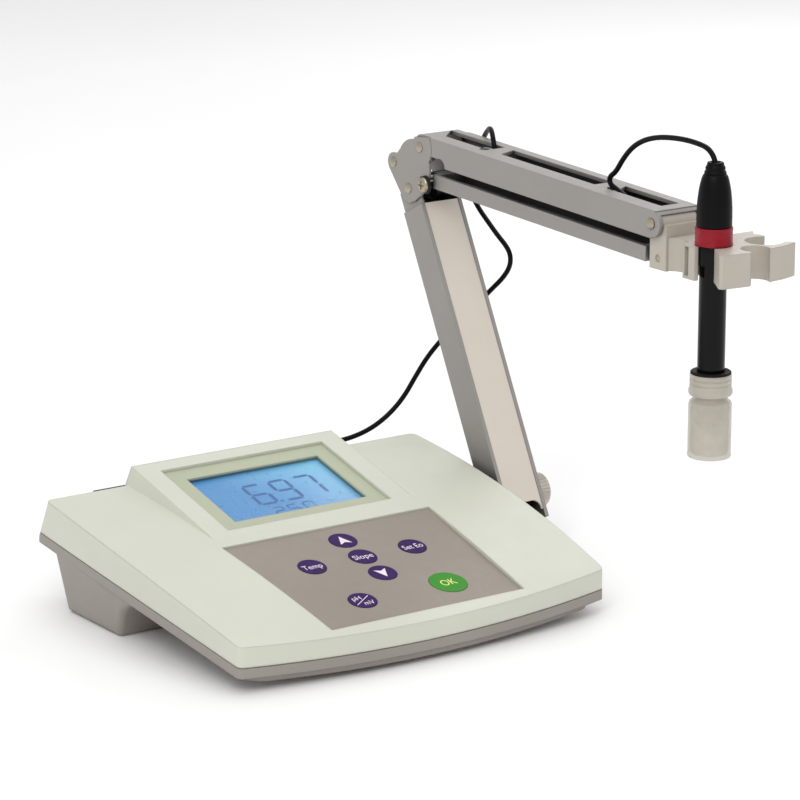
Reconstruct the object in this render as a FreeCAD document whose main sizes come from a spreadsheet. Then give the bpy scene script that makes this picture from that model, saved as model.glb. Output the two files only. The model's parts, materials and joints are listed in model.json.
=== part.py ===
"""Bench pH meter with a balanced electrode arm, as a parametric FreeCAD document.

Frame: +X to the user's right, +Y to the rear, +Z up, millimetres.  The meter's plan is laid out about
its own centre; every finished piece is then moved by -datum_y, so that the origin of the model is the
centre of the underside of the rear rubber foot, on the table.
"""
import FreeCAD, Part
import Sketcher
import math
import os
import re
from FreeCAD import Placement, Rotation, Vector

doc = FreeCAD.newDocument("ph_meter")
sheet = doc.addObject("Spreadsheet::Sheet", "Dimensions")
pieces = []

# ---------------------------------------------------------------- driving dimensions
DIMENSIONS = {
    # datum: the rear foot's centre, in the plan of the meter
    "datum_y": 40.0,
    # housing, plan outline
    "front_half": 121.0, "middle_half": 128.0, "rear_half": 127.0, "middle_y": -5.0,
    "front_corner_y": -105.0, "front_centre_y": -117.0, "rear_y": 116.5,
    "plan_high": 76.0, "side_draft": 1.5, "rear_draft": 35.5, "corner_radius": 4.0, "wall": 3.2,
    # housing, side view: the seam and the crest are arcs through three points each
    "seam_front_y": -105.0, "seam_front": 15.0, "seam_middle_y": -5.0, "seam_middle": 31.0,
    "seam_rear_y": 94.0, "seam_rear": 41.0,
    "crest_front_y": -106.6, "crest_front": 25.9, "crest_middle_y": -15.0, "crest_middle": 46.2,
    "crest_rear_y": 84.0, "crest_rear": 60.6,
    "seam_gap": 0.5, "band_depth": 6.2, "step_depth": 10.2, "step_inset": 8.0, "step_front": 2.0,
    "step_corner": 11.0, "tray_floor": 2.5, "tray_rear_y": 97.4, "tray_rear_low_y": 94.9, "screw_seat": 1.3,
    # rear leg of the base, a hollow trapezoid seen from the side
    "leg_half": 123.2, "leg_high_half": 128.4, "leg_bottom": 0.5, "leg_low_front_y": 14.3,
    "leg_low_rear_y": 70.5, "leg_top": 33.0, "leg_top_rear_y": 76.5, "leg_round": 4.0,
    "leg_knee_y": 8.2, "leg_knee": 14.5, "leg_hollow_y": 2.8, "leg_hollow": 19.9,
    "leg_blend_y": -10.0, "leg_blend": 24.2,
    "foot_strip_half": 70.0, "foot_strip_width": 16.0, "foot_strip": 1.5, "front_foot_x": 75.0,
    "front_foot_y": -72.0, "front_foot_radius": 6.0, "boss_x": 106.0, "boss_front_y": -88.0,
    "boss_rear_y": 80.0,
    # display hood, measured along its own slope from the front edge
    "hood_half": 68.5, "hood_flare": 5.5, "hood_front_y": -1.2, "hood_front": 48.4, "hood_angle": 13.85,
    "hood_length": 94.4, "hood_drop": 13.0,
    "bezel_half": 55.0, "bezel_start": 10.4, "bezel_end": 84.0, "bezel_sink": 1.6, "bezel_thick": 1.4,
    "window_half": 44.5, "window_start": 19.8, "window_end": 72.5, "ledge": 3.0, "lens_thick": 1.4,
    "panel_depth": 6.0,
    # keypad, measured along its own slope from the front edge
    "pad_front_y": -106.2, "pad_front": 24.9, "pad_angle": 12.47, "pad_length": 100.5,
    "pad_front_half": 63.0, "pad_rear_half": 69.2, "overlay_thick": 0.8,
    "key_radius": 8.13, "ok_radius": 10.85, "key_gap": 0.15, "key_proud": 0.25, "key_flange": 1.0,
    "key_flange_top": 3.2,
    "key_middle": 65.0, "key_step": 20.0, "key_side": 33.5, "key_low": 22.5, "key_low_side": 28.4,
    "mat_thick": 1.6, "board_thick": 1.6,
    # rear sockets, in the sloping rear wall of the cover
    "socket_z": 50.0, "rear_face_y": 93.15, "bnc_x": 45.0, "reference_x": 72.0, "temperature_x": 20.0,
    "power_x": -45.0, "switch_x": -78.0, "bnc_radius": 4.8, "plug_radius": 7.2, "plug_length": 24.35,
    "flange_stand": 3.42, "rim_stand": 3.8, "rocker_y": 2.8,
    # electrode arm: the plane it stands in
    "arm_centre": 151.5, "arm_width": 30.0, "arm_wall": 2.4, "plate_thick": 1.5,
    "pin_radius": 2.0, "pin_gap": 0.06, "rivet_radius": 3.1, "rivet_head": 1.2, "narrow": 1.6,
    # lower arm, measured up from its foot pivot
    "foot_y": 21.092, "foot_z": 34.718, "lower_length": 192.0, "lower_lean": 27.0, "pivot_back": 4.0,
    "lower_front": 8.25, "lower_rear": 12.05, "lower_tail": 18.0, "lower_top": 8.2, "lower_spine": 28.0,
    "shoulder_low": 12.0,
    "web_thick": 2.0, "web_low": 9.0, "left_lip": 7.5, "right_lip": 11.6, "lip_thick": 2.2,
    "cover_gap": 12.0, "cover_tail": 13.0, "cover_arch": 5.0, "cover_thick": 1.2, "cover_back": 6.75,
    "foot_radius": 6.4, "bolt_radius": 3.0,
    "knob_radius": 10.4, "knob_thick": 8.0, "spring_x": 8.7, "spring_radius": 2.8,
    # elbow: its pivots from the upper pivot of the lower arm
    "hinge_y": -11.4, "hinge_z": 26.5, "strut_y": -13.9, "strut_z": 7.4, "rod_y": 15.5, "rod_z": 13.5,
    "screw_y": -18.35, "screw_z": 5.2, "screw_radius": 4.6, "screw_high": 2.3, "washer_radius": 5.4,
    "washer_high": 1.6, "nose_radius": 12.0, "lobe_y": -5.2, "lobe_z": 14.2, "lobe_radius": 16.2,
    # upper arm, measured forward from its rear pivot
    "upper_length": 218.5, "upper_tilt": 2.2, "upper_top": 7.6, "upper_low": 8.1, "upper_skin": 2.2,
    "slot_near": 147.4, "slot_far": 160.0,
    "bar_height": 8.5, "bar_width": 23.0, "bar_rear": 6.5, "bar_front": 11.2, "tongue": 12.0,
    # head and electrode clip
    "head_width": 24.0, "barrel_radius": 6.6, "head_rear_y": 4.5, "head_front_y": -9.5, "head_low": 25.3,
    "clip_low": 198.8, "clip_high": 217.2, "socket_radius": 10.2, "clip_back_y": -142.2,
    "clip_left": 137.5, "slit_y": -152.6, "bay_x": 162.0, "bay_y": -178.6, "bay_radius": 8.0,
    "spare_x": 179.2, "spare_y": -166.3, "spare_radius": 10.9,
    # electrode and its storage bottle
    "probe_x": 150.0, "probe_y": -158.5, "shaft_radius": 7.55, "collar_radius": 10.1, "collar_low": 207.0,
    "ring_radius": 10.3, "ring_high": 227.3, "boot_radius": 9.7, "boot_high": 256.0,
    "cone_high": 262.5, "probe_tip": 112.0,
    "grommet_radius": 11.2, "grommet_high": 147.4, "grommet_low": 146.2, "cap_low": 134.2,
    "bottle_radius": 12.0, "bottle_low": 99.4, "bottle_wall": 1.4,
    "lead_radius": 1.5,
}
for row, (alias, size) in enumerate(DIMENSIONS.items(), start=1):
    sheet.set(f"A{row}", alias)
    sheet.set(f"B{row}", str(size))
    sheet.setAlias(f"B{row}", alias)
doc.recompute()


def val(alias):
    return float(sheet.get(alias))


def linked(text):
    """Write an expression in plain aliases as one that reads the spreadsheet."""
    return re.sub(r"[a-z_]{2,}", lambda m: f"Dimensions.{m[0]}" if m[0] in DIMENSIONS else m[0], str(text))


def bind(item, **links):
    for prop, text in links.items():
        item.setExpression(prop.replace("__", "."), linked(text))
    return item


def put(item, at):
    for letter, text in zip("xyz", at):
        item.setExpression(f"Placement.Base.{letter}", linked(text))
    return item


# ---------------------------------------------------------------- primitives and booleans
TURN = {"Z": Rotation(), "X": Rotation(Vector(0, 1, 0), 90), "Y": Rotation(Vector(1, 0, 0), -90)}


def box(name, size, low):
    item = doc.addObject("Part::Box", name)
    return put(bind(item, Length=size[0], Width=size[1], Height=size[2]), low)


def cylinder(name, radius, height, base, along="Z"):
    item = doc.addObject("Part::Cylinder", name)
    item.Placement = Placement(Vector(), TURN[along])
    return put(bind(item, Radius=radius, Height=height), base)


def cone(name, low, high, height, base):
    item = doc.addObject("Part::Cone", name)
    return put(bind(item, Radius1=low, Radius2=high, Height=height), base)


def fuse(name, *items):
    item = doc.addObject("Part::MultiFuse", name)
    item.Shapes = list(items)
    return item


def cut(name, base, *tools):
    item = doc.addObject("Part::Cut", name)
    item.Base = base
    item.Tool = tools[0] if len(tools) == 1 else fuse(name + "_tools", *tools)
    return item


def feature(name, shape):
    item = doc.addObject("Part::Feature", name)
    item.Shape = shape
    return item


def prism(name, plane, points, depth, start="0"):
    """A PartDesign pad of a polygon whose corners are bound to the spreadsheet.

    plane YZ pads along +X, XY pads along +Z.  Each point is a pair of expressions.
    """
    body = doc.addObject("PartDesign::Body", name)
    sketch = body.newObject("Sketcher::SketchObject", name + "_sketch")
    origin = [f for f in body.Origin.OriginFeatures if f.Role == plane + "_Plane"][0]
    sketch.AttachmentSupport = [(origin, "")]
    sketch.MapMode = "FlatFace"
    spots = [Vector(worth(p[0]), worth(p[1]), 0) for p in points]
    for index, spot in enumerate(spots):
        sketch.addGeometry(Part.LineSegment(spot, spots[(index + 1) % len(spots)]), False)
    for index in range(len(spots)):
        sketch.addConstraint(Sketcher.Constraint("Coincident", index, 2, (index + 1) % len(spots), 1))
    for index, (spot, point) in enumerate(zip(spots, points)):
        for kind, size, text in (("DistanceX", spot.x, point[0]), ("DistanceY", spot.y, point[1])):
            number = sketch.addConstraint(Sketcher.Constraint(kind, -1, 1, index, 1, size))
            sketch.setExpression(f"Constraints[{number}]", linked(text))
    pad = body.newObject("PartDesign::Pad", name + "_pad")
    pad.Profile = sketch
    bind(pad, Length=depth)
    put(body, (start, "0", "0") if plane == "YZ" else ("0", "0", start))
    return body


def worth(text):
    """The value of an expression written in aliases."""
    return float(sheet.evalExpression(linked(text)))


def locate(item, origin=("0", "0", "0"), angle=None):
    """Give a piece its own frame: an origin, and a turn about X in degrees."""
    if angle is not None:
        item.Placement = Placement(Vector(), Rotation(Vector(1, 0, 0), worth(angle)))
        bind(item, Placement__Rotation__Angle=angle)
    return put(item, origin)


def finish(item, label, origin=("0", "0", "0"), angle=None):
    """Place a finished piece, with the model's datum moved to the origin, and keep it for export."""
    x, y, z = origin
    locate(item, (x, f"{y} - datum_y", z), angle)
    item.Label = label
    pieces.append(item)
    return item


def group(name, *items):
    item = doc.addObject("Part::Compound", name)
    item.Links = list(items)
    return item


# ---------------------------------------------------------------- housing shells
def arc_through(ends, drop=0.0, low_y=-130.0, high_y=118.0):
    """The circle through three side-view points, as an edge in the plane X = 0, lowered by drop."""
    first, middle, last = [Vector(0, y, z) for y, z in ends]
    circle = Part.Arc(first, middle, last).toShape().Curve
    centre, radius = circle.Center, circle.Radius
    side = 1 if middle.z > centre.z else -1

    def spot(y):
        return Vector(0, y, centre.z + side * math.sqrt(radius ** 2 - (y - centre.y) ** 2) - drop)

    return Part.Arc(spot(low_y), spot((low_y + high_y) / 2), spot(high_y)).toShape()


def height_on(ends, y):
    """Height of a side-view arc at one Y."""
    return arc_through(ends, 0.0, y, y + 1.0).Vertexes[0].Z


def side_view(name):
    return [(val(f"{name}_{place}_y"), val(f"{name}_{place}")) for place in ("front", "middle", "rear")]


SEAM = side_view("seam")
CREST = side_view("crest")
REACH = 150.0


def between(lower, low_drop, upper, high_drop):
    """The slab between two side-view arcs, wider than the housing."""
    low = arc_through(lower, low_drop)
    high = arc_through(upper, high_drop)
    sides = [Part.makeLine(low.Vertexes[i].Point, high.Vertexes[i].Point) for i in (0, 1)]
    wire = Part.Wire(Part.__sortEdges__([low, high] + sides))
    face = Part.Face(wire)
    face.translate(Vector(-REACH, 0, 0))
    return face.extrude(Vector(2 * REACH, 0, 0))


def plan_wire(level, inset, front):
    """The housing's plan at one height: bowed front and sides, straight rear."""
    share = level / val("plan_high")
    side = inset + val("side_draft") * share
    rear = val("rear_y") - val("rear_draft") * share - inset
    front_left = Vector(-val("front_half") + side, val("front_corner_y") + front, level)
    nose = Vector(0, val("front_centre_y") + front, level)
    flank = Vector(-val("middle_half") + side, val("middle_y"), level)
    rear_left = Vector(-val("rear_half") + side, rear, level)

    def mirrored(point):
        return Vector(-point.x, point.y, point.z)

    return Part.Wire([
        Part.Arc(front_left, nose, mirrored(front_left)).toShape(),
        Part.Arc(mirrored(front_left), mirrored(flank), mirrored(rear_left)).toShape(),
        Part.makeLine(mirrored(rear_left), rear_left),
        Part.Arc(rear_left, flank, front_left).toShape(),
    ])


def housing(inset, front=None, corner=None):
    """The drafted housing block with rounded upright corners, shrunk by an inset."""
    front = inset if front is None else front
    corner = max(val("corner_radius") - inset / 2, 1.5) if corner is None else corner
    block = Part.makeLoft([plan_wire(level, inset, front) for level in (0.0, val("plan_high"))], True, True)
    upright = [e for e in block.Edges if abs(e.Vertexes[0].Z - e.Vertexes[-1].Z) > 1]
    return block.makeFillet(corner, upright)


def hood_block(inset, drop):
    """The display hood: a sloping top face with flared sides."""
    slope = math.radians(val("hood_angle"))
    length = val("hood_length")

    def ring(half, start, end, depth):
        spots = []
        for x, along in ((-half, start), (half, start), (half, end), (-half, end)):
            spots.append(Vector(x, val("hood_front_y") + along * math.cos(slope),
                                val("hood_front") + along * math.sin(slope) - depth))
        return Part.makePolygon(spots + spots[:1])

    flare = val("hood_flare")
    top = ring(val("hood_half") - inset, inset, length - inset, inset)
    low = ring(val("hood_half") + flare - inset, inset - flare / 2, length - inset, drop)
    return Part.makeLoft([top, low], True, True)


def boss_spots():
    """Where the four case screws go up through the tray into the cover."""
    return [(side * val("boss_x"), y) for y in (val("boss_front_y"), val("boss_rear_y")) for side in (-1, 1)]


def cover_shell():
    wall = val("wall")
    outer = housing(0).common(between(SEAM, 0, CREST, 0)).fuse(hood_block(0, val("hood_drop")))
    inner = housing(wall).common(between(SEAM, 8, CREST, wall)).fuse(hood_block(wall, val("hood_drop") + 4))
    shell = outer.cut(inner)
    for x, y in boss_spots():
        low, high = height_on(SEAM, y) - 7.0, height_on(CREST, y) - 1.5
        post = Part.makeCylinder(4.0, high - low, Vector(x, y, low))
        shell = shell.fuse(post).cut(Part.makeCylinder(1.3, 16.0, Vector(x, y, low - 1)))
    return shell


def side_prism(spots, half):
    """A block across the housing with a side-view outline of straight edges."""
    wire = Part.makePolygon([Vector(-half, y, z) for y, z in spots + spots[:1]])
    return Part.Face(wire).extrude(Vector(2 * half, 0, 0))


def tray_shell():
    gap, floor = val("seam_gap"), val("tray_floor")
    inset, front, corner = val("step_inset"), val("step_front"), val("step_corner")
    band = housing(0).common(between(SEAM, val("band_depth"), SEAM, gap))
    step = housing(inset, front, corner).common(between(SEAM, val("step_depth"), SEAM, gap + 1))
    hollow = housing(inset + floor, front + floor, corner - floor)
    hollow = hollow.common(between(SEAM, val("step_depth") - floor, SEAM, -4))
    shell = band.fuse([step, leg_block(0)]).cut(hollow.fuse(leg_block(floor)))
    high, low, far = val("seam_rear") + 2, -10.0, 160.0
    rear = [(val("tray_rear_y"), high), (val("tray_rear_low_y"), val("leg_top")),
            (val("tray_rear_low_y"), low), (far, low), (far, high)]
    shell = shell.cut(side_prism(rear, REACH))
    for x, y in boss_spots():
        under = height_on(SEAM, y) - val("step_depth")
        shell = shell.cut(Part.makeCylinder(1.8, 20, Vector(x, y, under - 5)))
        shell = shell.cut(Part.makeCylinder(3.3, 5 + val("screw_seat"), Vector(x, y, under - 5)))
    return shell


def leg_block(inset):
    """The rear leg: drafted sides, and a front that curves forward into the underside of the tray."""
    def spot(name, along, up):
        return Vector(-REACH, val(name + "_y") + along, val(name) + up)

    knee = spot("leg_knee", inset, inset / 2)
    hollow = spot("leg_hollow", inset, inset)
    blend = spot("leg_blend", inset, inset)
    toe = Vector(-REACH, val("leg_low_front_y") + inset, val("leg_bottom") + inset)
    heel = Vector(-REACH, val("leg_low_rear_y") - inset, val("leg_bottom") + inset)
    crown = Vector(-REACH, val("leg_top_rear_y") - inset, val("leg_top") + inset)
    nose = blend + Vector(0, -30.0, -3.6)
    high = Vector(-REACH, nose.y, nose.z + 14.0)
    corners = [blend, nose, high, crown, heel, toe, knee]
    edges = [Part.makeLine(a, b) for a, b in zip(corners, corners[1:])]
    edges.append(Part.Arc(knee, hollow, blend).toShape())
    profile = Part.Face(Part.Wire(edges)).extrude(Vector(2 * REACH, 0, 0))

    def level(half, z):
        half -= inset
        return Part.makePolygon([Vector(x, y, z) for x, y in (
            (-half, -60), (half, -60), (half, 110), (-half, 110), (-half, -60))])

    sides = Part.makeLoft([level(val("leg_half"), -5.0), level(val("leg_high_half"), val("leg_top") + 4)],
                          True, True)
    block = profile.common(sides)
    rounded = []
    for edge in block.Edges:
        size, middle = edge.BoundBox, edge.BoundBox.Center
        if size.XLength < 8 and middle.y > nose.y + 1 and size.ZMin < nose.z + 3:
            rounded.append(edge)
    block = block.makeFillet(val("leg_round") - inset / 2, rounded)
    return block.common(housing(inset)).common(between(SEAM, 80, SEAM, val("seam_gap") - inset))


TRAY = tray_shell()
HOOD = ("0", "hood_front_y", "hood_front")
PAD = ("0", "pad_front_y", "pad_front")
KEYS = {
    "key_up": ("0", "key_middle + key_step", "key_radius"),
    "key_slope": ("0", "key_middle", "key_radius"),
    "key_down": ("0", "key_middle - key_step", "key_radius"),
    "key_temperature": ("-key_side", "key_middle", "key_radius"),
    "key_set": ("key_side", "key_middle", "key_radius"),
    "key_mode": ("-key_low_side", "key_low", "key_radius"),
    "key_ok": ("key_low_side", "key_low", "ok_radius"),
}
SOCKETS = {"bnc": "bnc_radius", "reference": "4.2", "temperature": "4.2", "power": "4.6"}


def pad_outline(name, grow, low, high):
    """A slab over the keypad's trapezoid, in the keypad's own frame, grown sideways."""
    points = [(f"-pad_front_half - {grow}", f"0 - {grow}"), (f"pad_front_half + {grow}", f"0 - {grow}"),
              (f"pad_rear_half + {grow}", f"pad_length + {grow}"),
              (f"-pad_rear_half - {grow}", f"pad_length + {grow}")]
    return prism(name, "XY", points, f"{high} - ({low})", low)


def key_holes(name, clearance):
    return [cylinder(f"{name}_{key}", f"{radius} + {clearance}", "9", (x, w, "-6"))
            for key, (x, w, radius) in KEYS.items()]


def top_cover():
    shell = feature("cover_shell", cover_shell())
    pocket = pad_outline("pad_pocket", "0.4", "-overlay_thick", "8")
    pad_cut = locate(fuse("pad_cut", pocket, *key_holes("cover_hole", "key_gap")), PAD, "pad_angle")
    recess = box("bezel_recess", ("2 * bezel_half", "bezel_end - bezel_start", "6"),
                 ("-bezel_half", "bezel_start", "-bezel_sink - bezel_thick"))
    opening = box("bezel_opening",
                  ("2 * bezel_half - 2 * ledge", "bezel_end - bezel_start - 2 * ledge", "16"),
                  ("ledge - bezel_half", "bezel_start + ledge", "-14"))
    hood_cut = locate(fuse("hood_cut", recess, opening), HOOD, "hood_angle")
    holes = [cylinder(f"{name}_hole", f"{radius} + 0.1", "30", (f"{name}_x", "78", "socket_z"), "Y")
             for name, radius in SOCKETS.items()]
    switch_hole = box("switch_hole", ("19.4", "30", "13.4"), ("switch_x - 9.7", "78", "socket_z - 6.7"))
    finish(cut("top_cover_body", shell, pad_cut, hood_cut, switch_hole, *holes), "top_cover")


def base_tray():
    posts = [cylinder(f"post_{i}", "3", "24 - leg_bottom", (x, y, "leg_bottom + 1"))
             for i, (x, y) in enumerate(board_corners())]
    groove = box("foot_groove", ("2 * foot_strip_half + 0.2", "foot_strip_width + 0.2", "foot_strip"),
                 ("-foot_strip_half - 0.1", "datum_y - foot_strip_width / 2 - 0.1", "0"))
    finish(cut("tray_body", fuse("tray_blank", feature("tray_shell", TRAY), *posts), groove), "base_tray")


def board_corners():
    return [(x, y) for x in ("-84", "84") for y in ("22", "58")]


def display():
    frame_outer = box("bezel_outer", ("2 * bezel_half - 0.4", "bezel_end - bezel_start - 0.4", "bezel_thick"),
                      ("0.2 - bezel_half", "bezel_start + 0.2", "-bezel_sink - bezel_thick"))
    window = box("bezel_window", ("2 * window_half", "window_end - window_start", "9"),
                 ("-window_half", "window_start", "-5"))
    finish(cut("bezel_body", frame_outer, window), "display_bezel", HOOD, "hood_angle")
    lens_top = "-bezel_sink - bezel_thick"
    lens = box("lens_plate", ("2 * window_half + 6", "window_end - window_start + 6", "lens_thick"),
               ("-window_half - 3", "window_start - 3", f"{lens_top} - lens_thick"))
    finish(group("lens_body", lens), "display_lens", HOOD, "hood_angle")
    module = box("module_block", ("2 * window_half + 6", "window_end - window_start + 6", "panel_depth"),
                 ("-window_half - 3", "window_start - 3", f"{lens_top} - lens_thick - 0.1 - panel_depth"))
    finish(group("module_body", module), "lcd_module", HOOD, "hood_angle")


def keypad():
    overlay = pad_outline("overlay_sheet", "0", "-overlay_thick", "0")
    finish(cut("overlay_body", overlay, *key_holes("overlay_hole", "key_gap")), "keypad_overlay",
           PAD, "pad_angle")
    for name, (x, w, radius) in KEYS.items():
        cap = cylinder(name + "_cap", radius, "key_proud + key_flange_top", (x, w, "-key_flange_top"))
        flange = cylinder(name + "_flange", f"{radius} + 1.2", "key_flange",
                          (x, w, "-key_flange_top - key_flange"))
        finish(fuse(name + "_body", cap, flange), name, PAD, "pad_angle")
    mat_top = "-key_flange_top - key_flange - 0.6"
    mat = box("mat_sheet", ("92", "86", "mat_thick"), ("-46", "9", f"{mat_top} - mat_thick"))
    finish(group("mat_body", mat), "key_mat", PAD, "pad_angle")
    board = box("pad_board_sheet", ("96", "90", "board_thick"),
                ("-48", "7", f"{mat_top} - mat_thick - board_thick"))
    finish(group("pad_board_body", board), "keypad_board", PAD, "pad_angle")


def electronics():
    plate = box("main_board_plate", ("180", "46", "board_thick"), ("-90", "17", "25"))
    holes = [cylinder(f"board_hole_{i}", "1.6", "6", (x, y, "23"))
             for i, (x, y) in enumerate(board_corners())]
    finish(cut("main_board_body", plate, *holes), "main_board")
    heads = [cylinder(f"board_head_{i}", "2.8", "1.6", (x, y, "25 + board_thick"))
             for i, (x, y) in enumerate(board_corners())]
    finish(group("board_screw_body", *heads), "board_screws")


def case_screws():
    screws = []
    for i, (x, y) in enumerate(boss_spots()):
        low = height_on(SEAM, y) - val("step_depth") + val("screw_seat")
        head = Part.makeCylinder(3.0, 1.8, Vector(x, y, low - 1.8))
        screws.append(head.fuse(Part.makeCylinder(1.25, 14.0, Vector(x, y, low))))
    finish(feature("case_screw_set", Part.makeCompound(screws)), "case_screws")


def feet():
    strip = box("rear_strip", ("2 * foot_strip_half", "foot_strip_width", "foot_strip"),
                ("-foot_strip_half", "datum_y - foot_strip_width / 2", "0"))
    finish(group("rear_foot_body", strip), "rear_foot")
    pads = []
    for side, x in (("left", "-front_foot_x"), ("right", "front_foot_x")):
        pads.append(cylinder(f"front_foot_{side}", "front_foot_radius", "12", (x, "front_foot_y", "0")))
    under = feature("tray_underside", TRAY)
    finish(cut("front_feet_body", fuse("front_feet_blank", *pads), under), "front_feet")


def rear_sockets():
    """Sockets and a rocker switch, whose flanges touch the sloping rear wall along their lowest edge."""
    for name, radius in SOCKETS.items():
        reach = "14" if name == "bnc" else "6"

        def ring(part, size, depth, start):
            spot = (f"{name}_x", f"rear_face_y + {start}", "socket_z")
            return cylinder(f"{name}_{part}", f"{radius} + {size}", depth, spot, "Y")

        blank = fuse(f"{name}_blank", ring("barrel", "0", f"{reach} + 12", "(-12)"),
                     ring("flange", "2.4", "1.5", "flange_stand"))
        finish(cut(f"{name}_body", blank, ring("bore", "(-2.6)", "20", "(-4)")), f"{name}_socket")

    def switch_box(part, wide, deep, high, start):
        return box(f"switch_{part}", (wide, deep, high),
                   (f"switch_x - {wide} / 2", f"rear_face_y + {start}", f"socket_z - {high} / 2"))

    frame = fuse("switch_blank", switch_box("case", "19", "14", "13", "(-10)"),
                 switch_box("rim", "22", "2", "16", "rim_stand"))
    finish(cut("switch_frame_body", frame, switch_box("well", "16", "9", "10", "(-3)")), "switch_frame")
    hub = cylinder("rocker_hub", "4.2", "15", ("switch_x - 7.5", "rear_face_y + rocker_y", "socket_z"), "X")
    face = switch_box("rocker_face", "15", "3", "7.6", "rocker_y + 0.6")
    finish(fuse("rocker_blank", hub, face), "switch_rocker")


# ---------------------------------------------------------------- electrode arm
LEAN = "-lower_lean"
FOOT = ("0", "foot_y", "foot_z")
PIVOT = ("0", "foot_y + pivot_back * cos(lower_lean)", "foot_z - pivot_back * sin(lower_lean)")
KNEE_Y = "foot_y + lower_length * sin(lower_lean)"
KNEE_Z = "foot_z + lower_length * cos(lower_lean)"
KNEE = ("0", KNEE_Y, KNEE_Z)
HINGE = ("0", f"{KNEE_Y} + hinge_y", f"{KNEE_Z} + hinge_z")
STRUT = ("0", f"{KNEE_Y} + strut_y", f"{KNEE_Z} + strut_z")
ROD = ("0", f"{KNEE_Y} + rod_y", f"{KNEE_Z} + rod_z")
NOSE = ("0", f"{HINGE[1]} - upper_length * cos(upper_tilt)", f"{HINGE[2]} - upper_length * sin(upper_tilt)")
TOE = ("0", f"{NOSE[1]} + strut_y - hinge_y", f"{NOSE[2]} + strut_z - hinge_z")
HEEL = ("0", f"{PIVOT[1]} + rod_y", f"{PIVOT[2]} + rod_z")
SHAFT_HOLE = "pin_radius + pin_gap"


def across(name, radius, width, at, centre="arm_centre"):
    """A cylinder along X, centred on the arm."""
    return cylinder(name, radius, width, (f"{centre} - ({width}) / 2", at[1], at[2]), "X")


def slab(name, width, size, low, centre="arm_centre"):
    """A box centred on the arm in X: size and low are its Y and Z."""
    return box(name, (width, size[0], size[1]), (f"{centre} - ({width}) / 2", low[0], low[1]))


LOWER_WIDTH = "arm_width - 1"
LOWER_HOLLOW = "arm_width - 1 - 2 * arm_wall"


def lower_arm():
    tall = "lower_length + lower_tail"
    blank = fuse("channel_blank",
                 slab("channel_block", LOWER_WIDTH, ("lower_front + lower_rear", tall),
                      ("-lower_front", "-lower_tail")),
                 across("channel_top", "lower_top", LOWER_WIDTH, ("0", "0", "lower_length")))
    room = slab("channel_room", LOWER_HOLLOW, ("lower_front + lower_rear + 2", f"{tall} + 20"),
                ("-lower_front - 1", "-lower_tail - 1"))
    web = slab("channel_web", LOWER_HOLLOW, ("web_thick", "lower_length - cover_gap - web_low"),
               ("-cover_back", "web_low"))
    inner = f"({LOWER_HOLLOW}) / 2"
    lips = [box(f"channel_lip_{side}", (wide, "lip_thick", "lower_length - lower_spine"),
                (low, "lower_rear - lip_thick", "lower_spine"))
            for side, wide, low in (("left", "left_lip", f"arm_centre - {inner}"),
                                    ("right", "right_lip", f"arm_centre + {inner} - right_lip"))]
    stubs = [box(f"anchor_{side}", ("5.6", "3", "3"), (low, "-0.5", "37"))
             for side, low in (("left", f"arm_centre - {inner}"), ("right", f"arm_centre + {inner} - 5.6"))]
    shell = fuse("channel_shell", cut("channel_open", blank, room), web, *lips, *stubs)
    shoulders = [box(f"channel_shoulder_{side}", ("narrow", "40", "40"),
                     (low, "-20", "lower_length - shoulder_low"))
                 for side, low in (("left", "arm_centre - arm_width / 2"),
                                   ("right", "arm_centre + arm_width / 2 - narrow"))]
    knee_hole = across("channel_knee_hole", SHAFT_HOLE, "2 * arm_width", ("0", "0", "lower_length"))
    foot_hole = across("channel_foot_hole", "bolt_radius + pin_gap", "2 * arm_width",
                       ("0", "pivot_back", "0"))
    finish(cut("channel_body", shell, knee_hole, foot_hole, *shoulders),
           "lower_arm_channel", FOOT, LEAN)
    wide = f"({LOWER_HOLLOW}) - 0.1"
    plate = slab("cover_plate", wide, ("cover_thick", "lower_length - cover_gap + cover_tail"),
                 ("-cover_back - cover_thick", "-cover_tail"))
    gap = f"({wide}) - 1.6"
    arch = [slab("cover_arch_low", gap, ("20", "3"), ("-15", "-cover_tail - 2")),
            slab("cover_arch_high", f"({gap}) - 2 * cover_arch", ("20", "cover_arch + 3"),
                 ("-15", "-cover_tail - 2"))]
    for side in ("-", "+"):
        spot = (f"arm_centre {side} (({gap}) / 2 - cover_arch)", "-15", "1 - cover_tail")
        arch.append(cylinder(f"cover_arch_{len(arch)}", "cover_arch", "20", spot, "Y"))
    finish(cut("cover_body", plate, *arch), "lower_arm_cover", FOOT, LEAN)


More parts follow.
